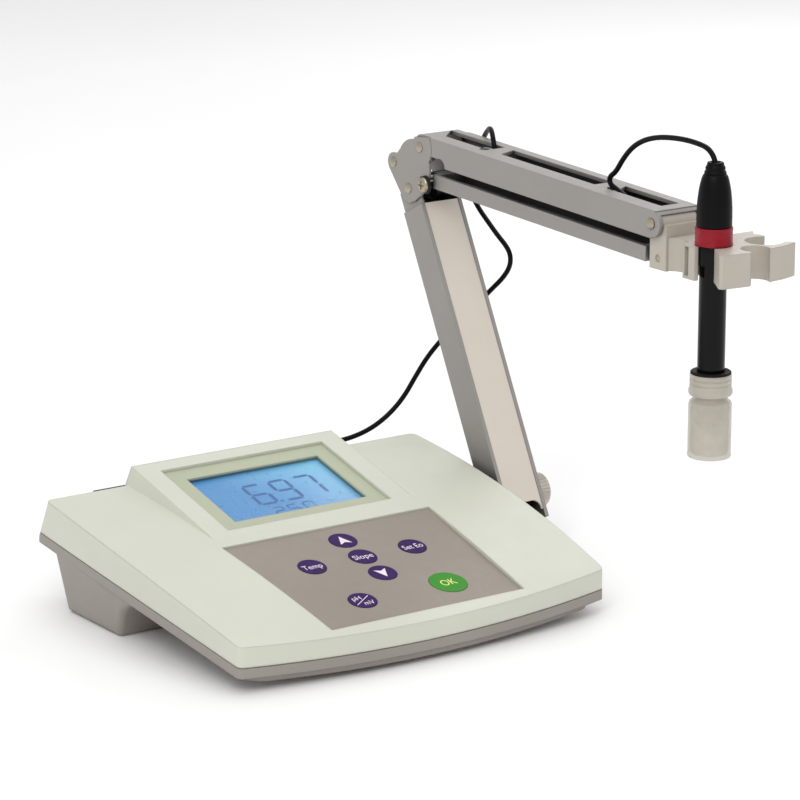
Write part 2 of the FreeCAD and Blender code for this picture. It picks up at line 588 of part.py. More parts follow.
def foot():
    room = f"({LOWER_HOLLOW}) - 1"
    neck = slab("foot_neck", room, ("2 * foot_radius", f"{PIVOT[2]} - 12"),
                (f"{PIVOT[1]} - foot_radius", "12"))
    head = across("foot_head", "foot_radius", room, PIVOT)
    lug_centre = "arm_centre + 2.1"
    heel = across("foot_heel", "3.4", "3.8", HEEL, lug_centre)
    lug = slab("foot_lug", "3.8", ("6.8", "sqrt(rod_y^2 + rod_z^2)"), ("-3.4", "0"), lug_centre)
    turned = locate(group("foot_lug_turned", lug), PIVOT, "-atan(rod_y / rod_z)")
    bolt_hole = across("foot_bolt_hole", "bolt_radius + pin_gap", "60", PIVOT)
    heel_hole = across("foot_heel_hole", SHAFT_HOLE, "20", HEEL, lug_centre)
    finish(cut("foot_body", fuse("foot_blank", neck, head, heel, turned), bolt_hole, heel_hole), "arm_foot")
    bracket = fuse("bracket_blank",
                   box("bracket_shelf", ("43", "56", "4"), ("leg_half + 2.8", "8", "8")),
                   box("bracket_wall", ("5.5", "26", "22"), ("leg_half + 2.8", "38", "8")))
    finish(cut("bracket_body", bracket, feature("tray_side", TRAY)), "arm_bracket")
    heads = [cylinder(f"bracket_head_{y}", "3.4", "2.4", ("leg_half + 8.3", y, "20"), "X")
             for y in ("44", "58")]
    finish(group("bracket_screw_body", *heads), "bracket_screws")
    side = "arm_centre - arm_width / 2"
    bolt = fuse("bolt_blank", across("bolt_shank", "bolt_radius", "arm_width + 4", PIVOT),
                cylinder("bolt_head", "5", "2.6", (f"{side} - 2.2", PIVOT[1], PIVOT[2]), "X"))
    finish(group("bolt_body", bolt), "foot_bolt")
    knob_low = "arm_centre + arm_width / 2 + 0.1"
    knob = fuse("knob_blank",
                cylinder("knob_grip", "knob_radius", "knob_thick", (knob_low, PIVOT[1], PIVOT[2]), "X"),
                cylinder("knob_boss", "6", "1", (f"{knob_low} - 0.5", PIVOT[1], PIVOT[2]), "X"))
    knob_bore = cylinder("knob_bore", "bolt_radius + pin_gap", "4.5",
                         (f"{knob_low} - 1", PIVOT[1], PIVOT[2]), "X")
    finish(cut("knob_body", knob, knob_bore), "thumb_knob")


def lower_link():
    rise, run = f"({KNEE_Z} - ({PIVOT[2]}))", f"({KNEE_Y} - ({PIVOT[1]}))"
    length = f"sqrt({rise}^2 + {run}^2)"
    centre = "arm_centre - 2.1"
    bar = slab("lower_rod_bar", "3.6", ("4.4", length), ("-2.2", "0"), centre)
    eyes, holes = [], []
    for i, z in enumerate(("0", length)):
        eyes.append(across(f"lower_rod_eye_{i}", "3.6", "3.6", ("0", "0", z), centre))
        holes.append(across(f"lower_rod_hole_{i}", SHAFT_HOLE, "9", ("0", "0", z), centre))
    finish(cut("lower_rod_body", fuse("lower_rod_blank", bar, *eyes), *holes), "lower_link", HEEL,
           f"-atan({run} / {rise})")
    finish(group("heel_pin_body", across("heel_shaft", "pin_radius", "8.4", HEEL)), "heel_pin")


def springs():
    coils = []
    for side in ("-", "+"):
        x = f"arm_centre {side} spring_x"
        coils += [cylinder(f"spring_coil{len(coils)}", "spring_radius", "92", (x, "1", "60")),
                  cylinder(f"spring_low{len(coils)}", "0.5", "21", (x, "1", "40")),
                  cylinder(f"spring_rise{len(coils)}", "0.5", "28", (x, "1", "151"))]
    finish(fuse("spring_body", *coils), "balance_springs", FOOT, LEAN)


def elbow():
    outer = {"left": "arm_centre - arm_width / 2", "right": "arm_centre + arm_width / 2 - plate_thick"}
    for side, x in outer.items():
        def disc(name, radius, y, z):
            return cylinder(f"{side}_{name}", radius, "plate_thick", (x, y, z), "X")

        web = prism(f"{side}_web", "YZ",
                    [("-20", "31"), ("-20", "3.2"), ("-6", "-7.2"), ("6.2", "-6"), ("20", "9.6"),
                     ("12", "19.4"), ("9.4", "22"), ("-6", "30.4")], "plate_thick", x)
        rim = [(f"hinge_y - nose_radius * cos({angle})", f"hinge_z + nose_radius * sin({angle})")
               for angle in (37, 24, 12, 0, -12, -24, -35, -46)]
        nose = prism(f"{side}_nose", "YZ", rim + [("-4", "18"), ("-6", "32")], "plate_thick", x)
        blank = fuse(f"{side}_plate", web, nose, disc("lobe", "lobe_radius", "lobe_y", "lobe_z"),
                     disc("rod_lobe", "5.8", "rod_y", "rod_z"), disc("knee_lobe", "8.6", "0", "0"))
        holes = [disc(f"hole_{i}", SHAFT_HOLE, y, z) for i, (y, z) in enumerate(
            (("0", "0"), ("hinge_y", "hinge_z"), ("rod_y", "rod_z"), ("strut_y", "strut_z")))]
        finish(cut(f"{side}_plate_body", blank, *holes), f"elbow_plate_{side}", KNEE)
    wide = "arm_width + 0.4"
    pins = [across("hinge_pin", "pin_radius", wide, HINGE), across("rod_pin", "pin_radius", wide, ROD),
            across("strut_pin", "pin_radius", "arm_width - 0.2", STRUT)]
    heads = []
    for side in ("-", "+"):
        pins.append(across(f"knee_pin_{len(pins)}", "pin_radius", "4.3", KNEE,
                           f"arm_centre {side} (arm_width / 2 - 1.75)"))
        for at in (HINGE, ROD, KNEE):
            heads.append(across(f"rivet_{len(heads)}", "rivet_radius", "rivet_head", at,
                                f"arm_centre {side} (arm_width / 2 + rivet_head / 2)"))
    finish(fuse("elbow_pin_body", *pins, *heads), "elbow_pins")
    face = "arm_centre - arm_width / 2 - washer_high"
    spot = (f"{KNEE_Y} + screw_y", f"{KNEE_Z} + screw_z")
    washers = cylinder("washer_stack", "washer_radius", "washer_high", (face,) + spot, "X")
    finish(group("washer_body", washers), "friction_washers")
    screw = cylinder("screw_head", "screw_radius", "screw_high", (f"{face} - screw_high",) + spot, "X")
    finish(group("screw_body", screw), "friction_screw")


def upper_arm():
    front = "upper_length"
    walls = fuse("upper_blank",
                 slab("upper_block", "arm_width", (front, "upper_top + upper_low"),
                      (f"-{front}", "-upper_low")),
                 across("upper_rear_end", "upper_top", "arm_width", ("0", "0", "0")),
                 across("upper_front_end", "upper_top", "arm_width", ("0", f"-{front}", "0")),
                 slab("upper_lip", "arm_width", ("3", "upper_top"), (f"-{front} - 3", "0")))
    hollow = slab("upper_hollow", "arm_width - 2 * arm_wall", (f"{front} + 30", "upper_top + upper_low"),
                  (f"-{front} - 15", "-upper_low - upper_skin"))
    post = slab("upper_post", "arm_width - arm_wall", ("2.4", "2.4"), ("-163.4", "-4.2"))
    narrowed = []
    bosses = []
    for side in ("-", "+"):
        recess, inner = (f"arm_centre {side} (arm_width / 2 {offset})" for offset in
                         ("+ 0.1 - narrow / 2", "- narrow - 1.5"))
        narrowed.append(across(f"upper_narrow_{len(narrowed)}", "nose_radius + 0.3", "narrow + 0.2",
                               ("0", "0", "0"), recess))
        bosses.append(across(f"upper_boss_{len(bosses)}", "upper_top", "2", ("0", "0", "0"), inner))
    barrel_room = across("upper_barrel_room", "barrel_radius + 0.3", "arm_width - 2 * arm_wall",
                         ("0", f"-{front}", "0"))
    outlines = {
        "rear": [("slot_near", "-46.9"), ("slot_near", "-11"), ("slot_far", "1.1"), ("slot_far", "-52.8"),
                 ("slot_near + 4.5", "-52.8"), ("slot_near + 3.5", "-46.9")],
        "middle": [("slot_near", "-154"), ("slot_near", "-66"), ("slot_far", "-61"), ("slot_far", "-154")],
        "front": [("slot_near", "-213"), ("slot_near", "-173"), ("slot_far", "-166"), ("slot_far", "-213")],
    }
    slots = [prism(f"upper_slot_{place}", "XY", points, "6", "upper_top - upper_skin - 1")
             for place, points in outlines.items()]
    floor = "upper_top - upper_skin - 1"
    slots.append(cylinder("upper_notch", "3", "8", ("slot_near", "-50", floor)))
    slots += [cylinder(f"upper_lead_notch_{i}", "3.2", "8", ("slot_near + 3", y, floor))
              for i, y in enumerate(("-170", "-166.6"))]
    side_notch = cylinder("upper_side_notch", "5.4", "10",
                          ("arm_centre - arm_width / 2 - 1", "-20.5", "-8.4"), "X")
    side_slot = slab("upper_side_slot", "arm_width + 2", ("12", "6"), ("-21", "-9.4"))
    holes = [across(f"upper_hole_{i}", SHAFT_HOLE, "arm_width + 6", ("0", y, "0"))
             for i, y in enumerate(("0", f"-{front}"))]
    blank = fuse("upper_walls", cut("upper_open", walls, hollow), post, *bosses)
    cuts = [barrel_room, side_notch, side_slot] + slots + narrowed + holes
    finish(cut("upper_body", blank, *cuts), "upper_arm", HINGE, "upper_tilt")


def link_bar():
    bar_rear, bar_front = "-bar_rear", "bar_front - upper_length"
    long = f"{bar_rear} - ({bar_front})"
    channel = slab("bar_block", "bar_width", (long, "bar_height"), (bar_front, "-bar_height / 2"))
    trough = slab("bar_trough", "bar_width - 2 * arm_wall", (f"{long} - 8", "bar_height"),
                  (f"{bar_front} + 4", "-bar_height / 2 + 2"))
    front_tongue = slab("bar_front_tongue", "17", ("bar_front + 1", "7"), ("-upper_length", "-3.5"))
    rear_tongue = slab("bar_rear_tongue", "tongue", ("bar_rear + 1", "7"), ("-bar_rear - 1", "-3.5"))
    ends = [across("bar_front_eye", "3.5", "17", ("0", "-upper_length", "0")),
            across("bar_rear_eye", "3.5", "tongue", ("0", "0", "0"))]
    bar_holes = [across(f"bar_hole_{i}", SHAFT_HOLE, "40", ("0", y, "0"))
                 for i, y in enumerate(("0", "-upper_length"))]
    blank = fuse("bar_blank", cut("bar_open", channel, trough), front_tongue, rear_tongue, *ends)
    finish(cut("bar_body", blank, *bar_holes), "link_bar", STRUT, "upper_tilt")


def tension_spring():
    coil = cylinder("tension_coil", "3.2", "60", ("arm_centre - 2", "-136", "-3"), "Y")
    rods = [cylinder("tension_rod_rear", "0.6", "32", ("arm_centre - 2", "-77", "-3"), "Y"),
            cylinder("tension_rod_front", "0.6", "26", ("arm_centre - 2", "-161", "-3"), "Y")]
    finish(fuse("tension_body", coil, *rods), "tension_spring", HINGE, "upper_tilt")


def head():
    barrel = across("head_barrel", "barrel_radius", "head_width", NOSE)
    depth = "head_rear_y - head_front_y"
    block = slab("head_block", "head_width", (depth, "head_low"),
                 (f"{NOSE[1]} + head_front_y", f"{NOSE[2]} - head_low"))
    room = slab("head_room", "head_width - 5", (f"{depth} + 1", "head_low"),
                (f"{NOSE[1]} + head_front_y + 2.7", f"{NOSE[2]} - head_low - 8"))
    shoulder = slab("head_shoulder", "head_width + 2", ("20", "30"),
                    (f"{NOSE[1]} + 1", f"{NOSE[2]} - 7.4"))
    nose_hole = across("head_nose_hole", SHAFT_HOLE, "40", NOSE)
    toe_hole = across("head_toe_hole", SHAFT_HOLE, "40", TOE)
    body = fuse("head_blank", cut("head_shaped", block, shoulder), barrel)
    finish(cut("head_body", body, room, nose_hole, toe_hole), "head_fork")
    nose_pin = across("nose_pin", "pin_radius", "arm_width + 0.6", NOSE)
    heads = [across(f"nose_rivet_{i}", "rivet_radius", "rivet_head", NOSE,
                    f"arm_centre {side} (arm_width / 2 + 0.9)") for i, side in enumerate(("-", "+"))]
    toe_pin = across("toe_pin", "pin_radius", "head_width - 0.4", TOE)
    finish(fuse("head_pin_body", nose_pin, toe_pin, *heads), "head_pins")


def clip():
    tall = "clip_high - clip_low"
    face_y = f"{NOSE[1]} + head_front_y"
    outline = [("clip_left", "clip_back_y"), ("190.3", "-143.4"), ("185.8", "-149.3"), ("187.4", "-152.4"),
               ("187.6", "-156.4"), ("spare_x", "spare_y"), ("190", "-177.2"), ("190.2", "-178.8"),
               ("184.9", "-180.6"), ("178.5", "-182.3"), ("167.9", "-183.4"), ("bay_x", "bay_y"),
               ("153.2", "-185.2"), ("136.4", "-183.3"), ("135", "-181.2"), ("141.5", "-170.5"),
               ("144.2", "probe_y - 7.4"), ("probe_x - 2", "probe_y - 3"), ("probe_x - 4", "probe_y + 0.4"),
               ("clip_left - 0.2", "probe_y + 0.4")]
    body = prism("clip_row", "XY", outline, tall, "clip_low")
    neck = box("clip_neck", ("head_width", f"{face_y} - 0.05 - clip_back_y + 1", tall),
               ("arm_centre - head_width / 2", "clip_back_y - 1", "clip_low"))
    deep, low = "40", "clip_low - 10"
    cuts = [cylinder("clip_seat", "socket_radius", deep, ("probe_x", "probe_y", low)),
            cylinder("clip_bay", "bay_radius", deep, ("bay_x", "bay_y", low)),
            cylinder("clip_spare", "spare_radius", deep, ("spare_x", "spare_y", low)),
            box("clip_slit", ("4", "3.3", "16"), ("clip_left - 1", "slit_y", "clip_low + 1.6")),
            cylinder("clip_cove", "9", deep, ("arm_centre - head_width / 2 - 3", f"{face_y} - 8", low))]
    finish(cut("clip_body", fuse("clip_blank", body, neck), *cuts), "electrode_clip")


def electrode():
    at = ("probe_x", "probe_y")
    tube = cylinder("shaft_tube", "shaft_radius", "collar_low - probe_tip - 6", at + ("probe_tip + 6",))
    collar = cylinder("shaft_collar", "collar_radius", "clip_high + 0.2 - collar_low", at + ("collar_low",))
    finish(fuse("shaft_blank", tube, collar), "electrode_shaft")
    bulb = doc.addObject("Part::Sphere", "bulb_ball")
    put(bind(bulb, Radius="5.5"), at + ("probe_tip + 3",))
    neck = cylinder("bulb_neck", "5", "4", at + ("probe_tip + 2",))
    above = cylinder("bulb_room", "20", "6", at + ("probe_tip + 6",))
    finish(cut("bulb_body", fuse("bulb_blank", bulb, neck), above), "glass_bulb")
    ring = cylinder("ring_band", "ring_radius", "ring_high - clip_high - 0.2", at + ("clip_high + 0.2",))
    finish(group("ring_body", ring), "colour_ring")
    levels = [("ring_high", "boot_radius"), ("232", "boot_radius"), ("240", "9.5"), ("247", "8.8"), ("252.4", "7.7"),
              ("boot_high", "6.6")]
    sections = []
    for i, (low, high) in enumerate(zip(levels, levels[1:])):
        sections.append(cone(f"boot_{i}", low[1], high[1], f"{high[0]} - {low[0]}", at + (low[0],)))
    finish(fuse("boot_body", *sections), "electrode_boot")
    relief = cone("relief_cone", "6.1", "4.3", "cone_high - boot_high", at + ("boot_high",))
    funnel = cylinder("relief_funnel", "2.7", "10", at + ("boot_high + 1.2",))
    finish(cut("relief_body", relief, funnel), "strain_relief")


def bottle():
    at = ("probe_x", "probe_y")
    bore = "shaft_radius + 0.08"
    disc = cylinder("grommet_disc", "grommet_radius", "grommet_high - grommet_low", at + ("grommet_low",))
    hole = cylinder("grommet_bore", bore, "20", at + ("grommet_low - 5",))
    finish(cut("grommet_body", disc, hole), "bottle_grommet")
    cap = cylinder("cap_disc", "bottle_radius", "grommet_low - cap_low", at + ("cap_low",))
    thread_room = cylinder("cap_bore", "bottle_radius - 2.6", "grommet_low - cap_low - 2",
                           at + ("cap_low - 0.1",))
    eye = cylinder("cap_eye", bore, "30", at + ("cap_low - 5",))
    finish(cut("cap_body", cap, thread_room, eye), "bottle_cap")
    wall = cylinder("bottle_wall_tube", "bottle_radius", "cap_low - bottle_low - 2.2", at + ("bottle_low",))
    neck = cylinder("bottle_neck", "bottle_radius - 2.7", "10", at + ("cap_low - 3",))
    outer = fuse("bottle_blank", wall, neck)
    inner = cylinder("bottle_room", "bottle_radius - bottle_wall - 2.6", "80",
                     at + ("bottle_low + bottle_wall",))
    wide = cylinder("bottle_wide", "bottle_radius - bottle_wall", "cap_low - bottle_low - 5",
                    at + ("bottle_low + bottle_wall",))
    finish(cut("bottle_body", outer, inner, wide), "storage_bottle")


# ---------------------------------------------------------------- electrode lead
def lead_tube(points, radius, label):
    """A round cord along straight runs joined by tangent arcs, as large as the runs allow."""
    spots = [Vector(*p) for p in points]
    edges, radii, here = [], [], spots[0]
    for before, corner, after in zip(spots, spots[1:], spots[2:]):
        one, two = (corner - before).normalize(), (after - corner).normalize()
        turn = one.getAngle(two)
        reach = 0.45 * min((corner - before).Length, (after - corner).Length)
        start, end = corner - one * reach, corner + two * reach
        radii.append(reach / math.tan(turn / 2))
        centre = corner + (two - one).normalize() * math.hypot(reach, radii[-1])
        crown = centre + (corner - centre).normalize() * radii[-1]
        edges.append(Part.LineSegment(here, start).toShape())
        edges.append(Part.Arc(start, crown, end).toShape())
        here = end
    edges.append(Part.LineSegment(here, spots[-1]).toShape())
    path = Part.Wire(edges)
    ring = Part.Wire(Part.Circle(spots[0], (spots[1] - spots[0]).normalize(), radius).toShape())
    tube = path.makePipeShell([ring], True, False)
    expected = math.pi * radius ** 2 * path.Length
    print(f"{label}: length {path.Length:.1f}, smallest arc {min(radii):.1f},"
          f" volume ratio {tube.Volume / expected:.4f}")
    return tube


# From the electrode over the arm into its front slot, round inside the channel and back to the rear slot.
ARCH = [
    (150, -159.4, 258.6), (150, -158.1, 263.0), (150, -155.4, 266.6), (150, -151.1, 269.1),
    (150, -144.4, 270.1), (150, -134, 270.6), (150.1, -122, 270.0), (150.2, -109.5, 268.4),
    (150.3, -97.5, 265.1), (150.4, -87, 259.6), (150.4, -78.6, 251.4), (150.4, -72.6, 243.2),
    (150.4, -66.8, 239.5), (150.5, -67.4, 235.3), (150.8, -74.0, 233.2), (150.2, -81.5, 230.6),
    (148.9, -90, 228.2), (148.3, -98, 226.8), (151, -104.5, 225.9), (156, -106.5, 225.6),
    (160.4, -103, 225.5), (161.5, -95.5, 225.6), (161.7, -83, 226.0), (161.2, -60, 226.7),
    (161.6, -22, 228.0), (160.8, 4, 229.0), (159.8, 22, 229.5), (158.95, 30, 229.55),
]
# Out of the rear slot, over the right elbow plate and down beside it.
CROSSING = [
    (158.95, 30, 229.55), (158.1, 38, 229.6), (157.2, 45, 230.6), (157, 49.4, 234.6), (157.3, 51.4, 241),
    (161, 58.6, 246.4), (166.4, 68.4, 244.8), (171.4, 79, 239), (173.6, 87.6, 230), (174.7, 94.4, 219),
    (174.95, 96.9, 213),
]
# Down to the side of the lower arm.
DROP = [
    (174.95, 96.9, 213), (175.2, 99.4, 207), (175.4, 97.6, 199.4), (175.5, 90.6, 192), (175.5, 82.4, 186.4),
    (175.55, 76.9, 182.6),
]
# Behind the lower arm, down and round to the plug.
TAIL = [
    (175.55, 76.9, 182.6), (175.6, 71.4, 178.8), (175.8, 63.8, 174.4), (176.4, 59.4, 169.2), (176.2, 59.5, 162),
    (175, 64.8, 154.2), (173.2, 74.5, 145.3), (171, 84, 136), (167.5, 95, 124.5), (162, 107, 111.5),
    (155.5, 115, 98.5), (149.5, 119.5, 85.5), (143, 122, 73.5), (133.5, 124, 63.5), (121.5, 125, 56.5),
    (108.5, 126, 52.6), (96, 129.5, 50.4), (83.5, 136.5, 49.4), (71.5, 143.5, 49.5), (59.5, 144.5, 49.8),
    (50, 138.2, 50), (45.3, 128.5, 50), (45, 118.5, 50),
]


def lead():
    radius = val("lead_radius")
    for label, points in (("lead_arch", ARCH), ("lead_crossing", CROSSING), ("lead_drop", DROP),
                          ("lead_tail", TAIL)):
        finish(feature(label + "_tube", lead_tube(points, radius, label)), label)
    plug_low = "rear_face_y + 5"
    spot = ("bnc_x", plug_low, "socket_z")
    outer = fuse("plug_outer", cylinder("plug_sleeve", "plug_radius", "12", spot, "Y"),
                 cylinder("plug_body", "5", "plug_length - 4", spot, "Y"))
    room = cylinder("plug_room", "bnc_radius + 0.1", "9.2", ("bnc_x", f"{plug_low} - 0.1", "socket_z"), "Y")
    finish(cut("plug_piece", outer, room), "lead_plug")


top_cover()
base_tray()
display()
keypad()
electronics()
case_screws()
feet()
rear_sockets()
lower_arm()
foot()
lower_link()
springs()
elbow()
upper_arm()
link_bar()
tension_spring()
head()
clip()
electrode()
bottle()
lead()
doc.recompute()

# ---------------------------------------------------------------- checks and export
failed = [o.Name for o in doc.Objects if {"Invalid", "Error"} & set(o.State)]
for piece in pieces:
    if piece.Shape.isNull() or not piece.Shape.isValid() or piece.Shape.Volume <= 0:
        failed.append(piece.Label)
if failed:
    raise SystemExit(f"failed features: {failed}")
os.makedirs("parts", exist_ok=True)
for piece in pieces:
    piece.Shape.exportStep(f"parts/{piece.Label}.step")
    print(f"{piece.Label}: {len(piece.Shape.Solids)} solid(s), {piece.Shape.Volume:.0f} mm3")
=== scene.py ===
"""Looks of the bench pH meter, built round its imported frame.  Metres, +X to the user's right, +Y to the
rear, +Z up, the origin under the rear rubber foot."""
import json
import math
import bpy
from mathutils import Matrix, Vector
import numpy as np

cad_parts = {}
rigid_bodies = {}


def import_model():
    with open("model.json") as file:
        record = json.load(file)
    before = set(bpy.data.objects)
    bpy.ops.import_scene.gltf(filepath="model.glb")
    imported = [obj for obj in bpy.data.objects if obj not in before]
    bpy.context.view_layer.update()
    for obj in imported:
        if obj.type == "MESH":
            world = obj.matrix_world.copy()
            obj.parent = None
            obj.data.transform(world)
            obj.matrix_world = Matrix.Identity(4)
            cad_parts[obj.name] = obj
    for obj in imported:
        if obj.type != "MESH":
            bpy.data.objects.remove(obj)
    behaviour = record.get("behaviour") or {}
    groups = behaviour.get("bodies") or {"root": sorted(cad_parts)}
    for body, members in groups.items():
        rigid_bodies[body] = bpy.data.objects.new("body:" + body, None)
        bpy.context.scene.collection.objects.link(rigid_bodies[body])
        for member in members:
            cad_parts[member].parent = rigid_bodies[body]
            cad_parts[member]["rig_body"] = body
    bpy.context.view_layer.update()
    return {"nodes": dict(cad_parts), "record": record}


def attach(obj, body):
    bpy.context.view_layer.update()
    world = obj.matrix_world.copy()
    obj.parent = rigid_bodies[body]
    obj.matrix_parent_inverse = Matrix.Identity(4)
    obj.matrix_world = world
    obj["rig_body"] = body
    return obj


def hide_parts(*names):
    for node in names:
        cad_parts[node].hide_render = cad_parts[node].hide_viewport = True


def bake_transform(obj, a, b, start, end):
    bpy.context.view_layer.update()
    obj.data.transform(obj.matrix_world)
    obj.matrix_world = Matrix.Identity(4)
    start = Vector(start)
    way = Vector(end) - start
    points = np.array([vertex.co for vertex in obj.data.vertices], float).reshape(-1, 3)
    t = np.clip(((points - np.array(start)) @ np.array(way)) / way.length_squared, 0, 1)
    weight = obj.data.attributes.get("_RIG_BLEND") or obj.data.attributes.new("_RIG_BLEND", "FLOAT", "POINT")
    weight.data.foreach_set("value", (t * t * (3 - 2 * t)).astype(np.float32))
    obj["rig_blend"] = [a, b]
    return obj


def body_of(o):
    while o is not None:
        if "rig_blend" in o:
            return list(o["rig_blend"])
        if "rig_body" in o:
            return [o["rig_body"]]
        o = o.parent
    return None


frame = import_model()
MM = 0.001
PLAN_Y = -0.040  # in metres, from the origin to the line that every y in millimetres is measured from


# ---------------------------------------------------------------- materials
def new_material(name):
    material = bpy.data.materials.new(name)
    material.use_nodes = True
    tree = material.node_tree
    return material, tree, tree.nodes["Principled BSDF"]


def link(tree, source, target):
    tree.links.new(source, target)


def noise(tree, scale, detail=3.0, roughness=0.55, stretch=(1.0, 1.0, 1.0)):
    """Object-space noise, with the scale in features per metre."""
    spot = tree.nodes.new("ShaderNodeTexCoord")
    mapping = tree.nodes.new("ShaderNodeMapping")
    mapping.inputs["Scale"].default_value = stretch
    texture = tree.nodes.new("ShaderNodeTexNoise")
    texture.inputs["Scale"].default_value = scale
    texture.inputs["Detail"].default_value = detail
    texture.inputs["Roughness"].default_value = roughness
    link(tree, spot.outputs["Object"], mapping.inputs["Vector"])
    link(tree, mapping.outputs["Vector"], texture.inputs["Vector"])
    return texture.outputs["Fac"]


def rgba(value):
    """One grey value, or three colour values, as four."""
    return (*(value * 3 if len(value) == 1 else value), 1.0)


def ramp(tree, factor, low, high, start=0.3, end=0.7):
    """Turn a factor into a range of colours or grey values."""
    node = tree.nodes.new("ShaderNodeValToRGB")
    for stop, position, value in zip(node.color_ramp.elements, (start, end), (low, high)):
        stop.position = position
        stop.color = rgba(value)
    link(tree, factor, node.inputs["Fac"])
    return node.outputs["Color"]


def shade(colour, share):
    """A darker or lighter version of a colour."""
    return tuple(max(0.0, min(1.0, c * share)) for c in colour)


def linear(red, green, blue):
    """A screen colour of 0 to 255 as the linear colour that the shader takes."""
    return tuple(((c / 255 + 0.055) / 1.055) ** 2.4 if c > 10 else c / 255 / 12.92
                 for c in (red, green, blue))


HOLLOW_REACH = 0.05  # how far a wall still darkens a hollow with painted shade
HOLLOW_OPEN = (0.2, 0.68)  # openness at which the painted shade is full, and at which it is gone
# near black of the painted shade laid into hollows
PAINTED_SHADE_COLOUR = (0.004, 0.004, 0.004, 1.0)
GRAIN_STRENGTH = 0.35


def surface(name, colour, roughness, spread=0.06, grain=900.0, relief=0.00003, mottle=14.0,
            metal=0.0, coat=0.0, specular=0.5, stretch=(1.0, 1.0, 1.0), edge=0.0006, painted_shade=0.0):
    """A worn, slightly uneven surface: cloudy colour, uneven gloss, fine grain, rounded edges and painted
    shade in hollows.

    spread is the share by which the cloud changes the colour, grain and mottle are features per metre,
    relief is the grain's depth and edge the radius of the rounding, and painted_shade is the share of
    painted shade by which deep hollows are darkened.
    """
    material, tree, shader = new_material(name)
    cloud = noise(tree, mottle, 4.0)
    tone = ramp(tree, cloud, shade(colour, 1 - spread), shade(colour, 1 + spread))
    # painted shade: ambient occlusion darkens the colour towards near black in deep hollows
    if painted_shade:
        hollow = tree.nodes.new("ShaderNodeAmbientOcclusion")
        hollow.inputs["Distance"].default_value = HOLLOW_REACH
        hollow.samples = 8
        link(tree, tone, hollow.inputs["Color"])
        blend = tree.nodes.new("ShaderNodeMix")
        blend.data_type = "RGBA"
        link(tree, ramp(tree, hollow.outputs["AO"], (painted_shade,), (0.0,), *HOLLOW_OPEN), blend.inputs["Factor"])
        link(tree, tone, blend.inputs["A"])
        blend.inputs["B"].default_value = PAINTED_SHADE_COLOUR
        tone = blend.outputs["Result"]
    link(tree, tone, shader.inputs["Base Color"])
    polish = noise(tree, mottle * 9, 5.0, stretch=stretch)
    link(tree, ramp(tree, polish, (roughness - 0.05,), (roughness + 0.07,)), shader.inputs["Roughness"])
    rounding = tree.nodes.new("ShaderNodeBevel")
    rounding.samples = 4
    rounding.inputs["Radius"].default_value = edge
    bump = tree.nodes.new("ShaderNodeBump")
    bump.inputs["Strength"].default_value = GRAIN_STRENGTH
    bump.inputs["Distance"].default_value = relief
    link(tree, noise(tree, grain, 2.0, stretch=stretch), bump.inputs["Height"])
    link(tree, rounding.outputs["Normal"], bump.inputs["Normal"])
    link(tree, bump.outputs["Normal"], shader.inputs["Normal"])
    shader.inputs["Metallic"].default_value = metal
    shader.inputs["Coat Weight"].default_value = coat
    shader.inputs["Specular IOR Level"].default_value = specular
    return material


def clear(name, tint, share):
    """Thin clear sheet: most light passes, and a faint, slightly scratched gloss lies on it."""
    material, tree, shader = new_material(name)
    tree.nodes.remove(shader)
    gloss = tree.nodes.new("ShaderNodeBsdfGlossy")
    through = tree.nodes.new("ShaderNodeBsdfTransparent")
    through.inputs["Color"].default_value = (*tint, 1.0)
    mix = tree.nodes.new("ShaderNodeMixShader")
    link(tree, ramp(tree, noise(tree, 900.0), (0.06,), (0.12,)), gloss.inputs["Roughness"])
    link(tree, ramp(tree, noise(tree, 40.0), (share,), (share + 0.02,)), mix.inputs["Fac"])
    link(tree, through.outputs["BSDF"], mix.inputs[1])
    link(tree, gloss.outputs["BSDF"], mix.inputs[2])
    link(tree, mix.outputs["Shader"], tree.nodes["Material Output"].inputs["Surface"])
    return material


def milky(name, colour, share, roughness=0.32):
    """Translucent moulded plastic: part of the light goes straight through its cloudy wall."""
    material = surface(name, colour, roughness, 0.04, 900, 0.00001, 30)
    tree = material.node_tree
    through = tree.nodes.new("ShaderNodeBsdfTransparent")
    mix = tree.nodes.new("ShaderNodeMixShader")
    link(tree, ramp(tree, noise(tree, 120.0), (share - 0.05,), (share + 0.05,)), mix.inputs["Fac"])
    link(tree, tree.nodes["Principled BSDF"].outputs["BSDF"], mix.inputs[1])
    link(tree, through.outputs["BSDF"], mix.inputs[2])
    link(tree, mix.outputs["Shader"], tree.nodes["Material Output"].inputs["Surface"])
    return material


def back_lit(name, dark, pale):
    """A liquid crystal panel that grows paler towards its right and rear, along a slightly wavy front."""
    material = surface(name, dark, 0.3, 0.03, 300, 0.00001, 20)
    tree = material.node_tree
    shader = tree.nodes["Principled BSDF"]
    spot = tree.nodes.new("ShaderNodeTexCoord")
    split = tree.nodes.new("ShaderNodeSeparateXYZ")
    link(tree, spot.outputs["Object"], split.inputs["Vector"])
    total = tree.nodes.new("ShaderNodeMath")
    link(tree, split.outputs["X"], total.inputs[0])
    link(tree, split.outputs["Y"], total.inputs[1])
    sway = 0.012  # how far the noise shifts the front
    wave = tree.nodes.new("ShaderNodeMath")
    wave.operation = "MULTIPLY_ADD"
    wave.inputs[1].default_value = sway
    link(tree, noise(tree, 30.0), wave.inputs[0])
    link(tree, total.outputs["Value"], wave.inputs[2])
    span = tree.nodes.new("ShaderNodeMapRange")
    front, rear = -0.065, 0.075  # the span of x + y over the panel
    span.inputs["From Min"].default_value = front
    span.inputs["From Max"].default_value = rear
    link(tree, wave.outputs["Value"], span.inputs["Value"])
    colour = ramp(tree, span.outputs["Result"], dark, pale, 0.45, 1.0)
    link(tree, colour, shader.inputs["Base Color"])
    link(tree, colour, shader.inputs["Emission Color"])
    shader.inputs["Emission Strength"].default_value = 0.15
    return material


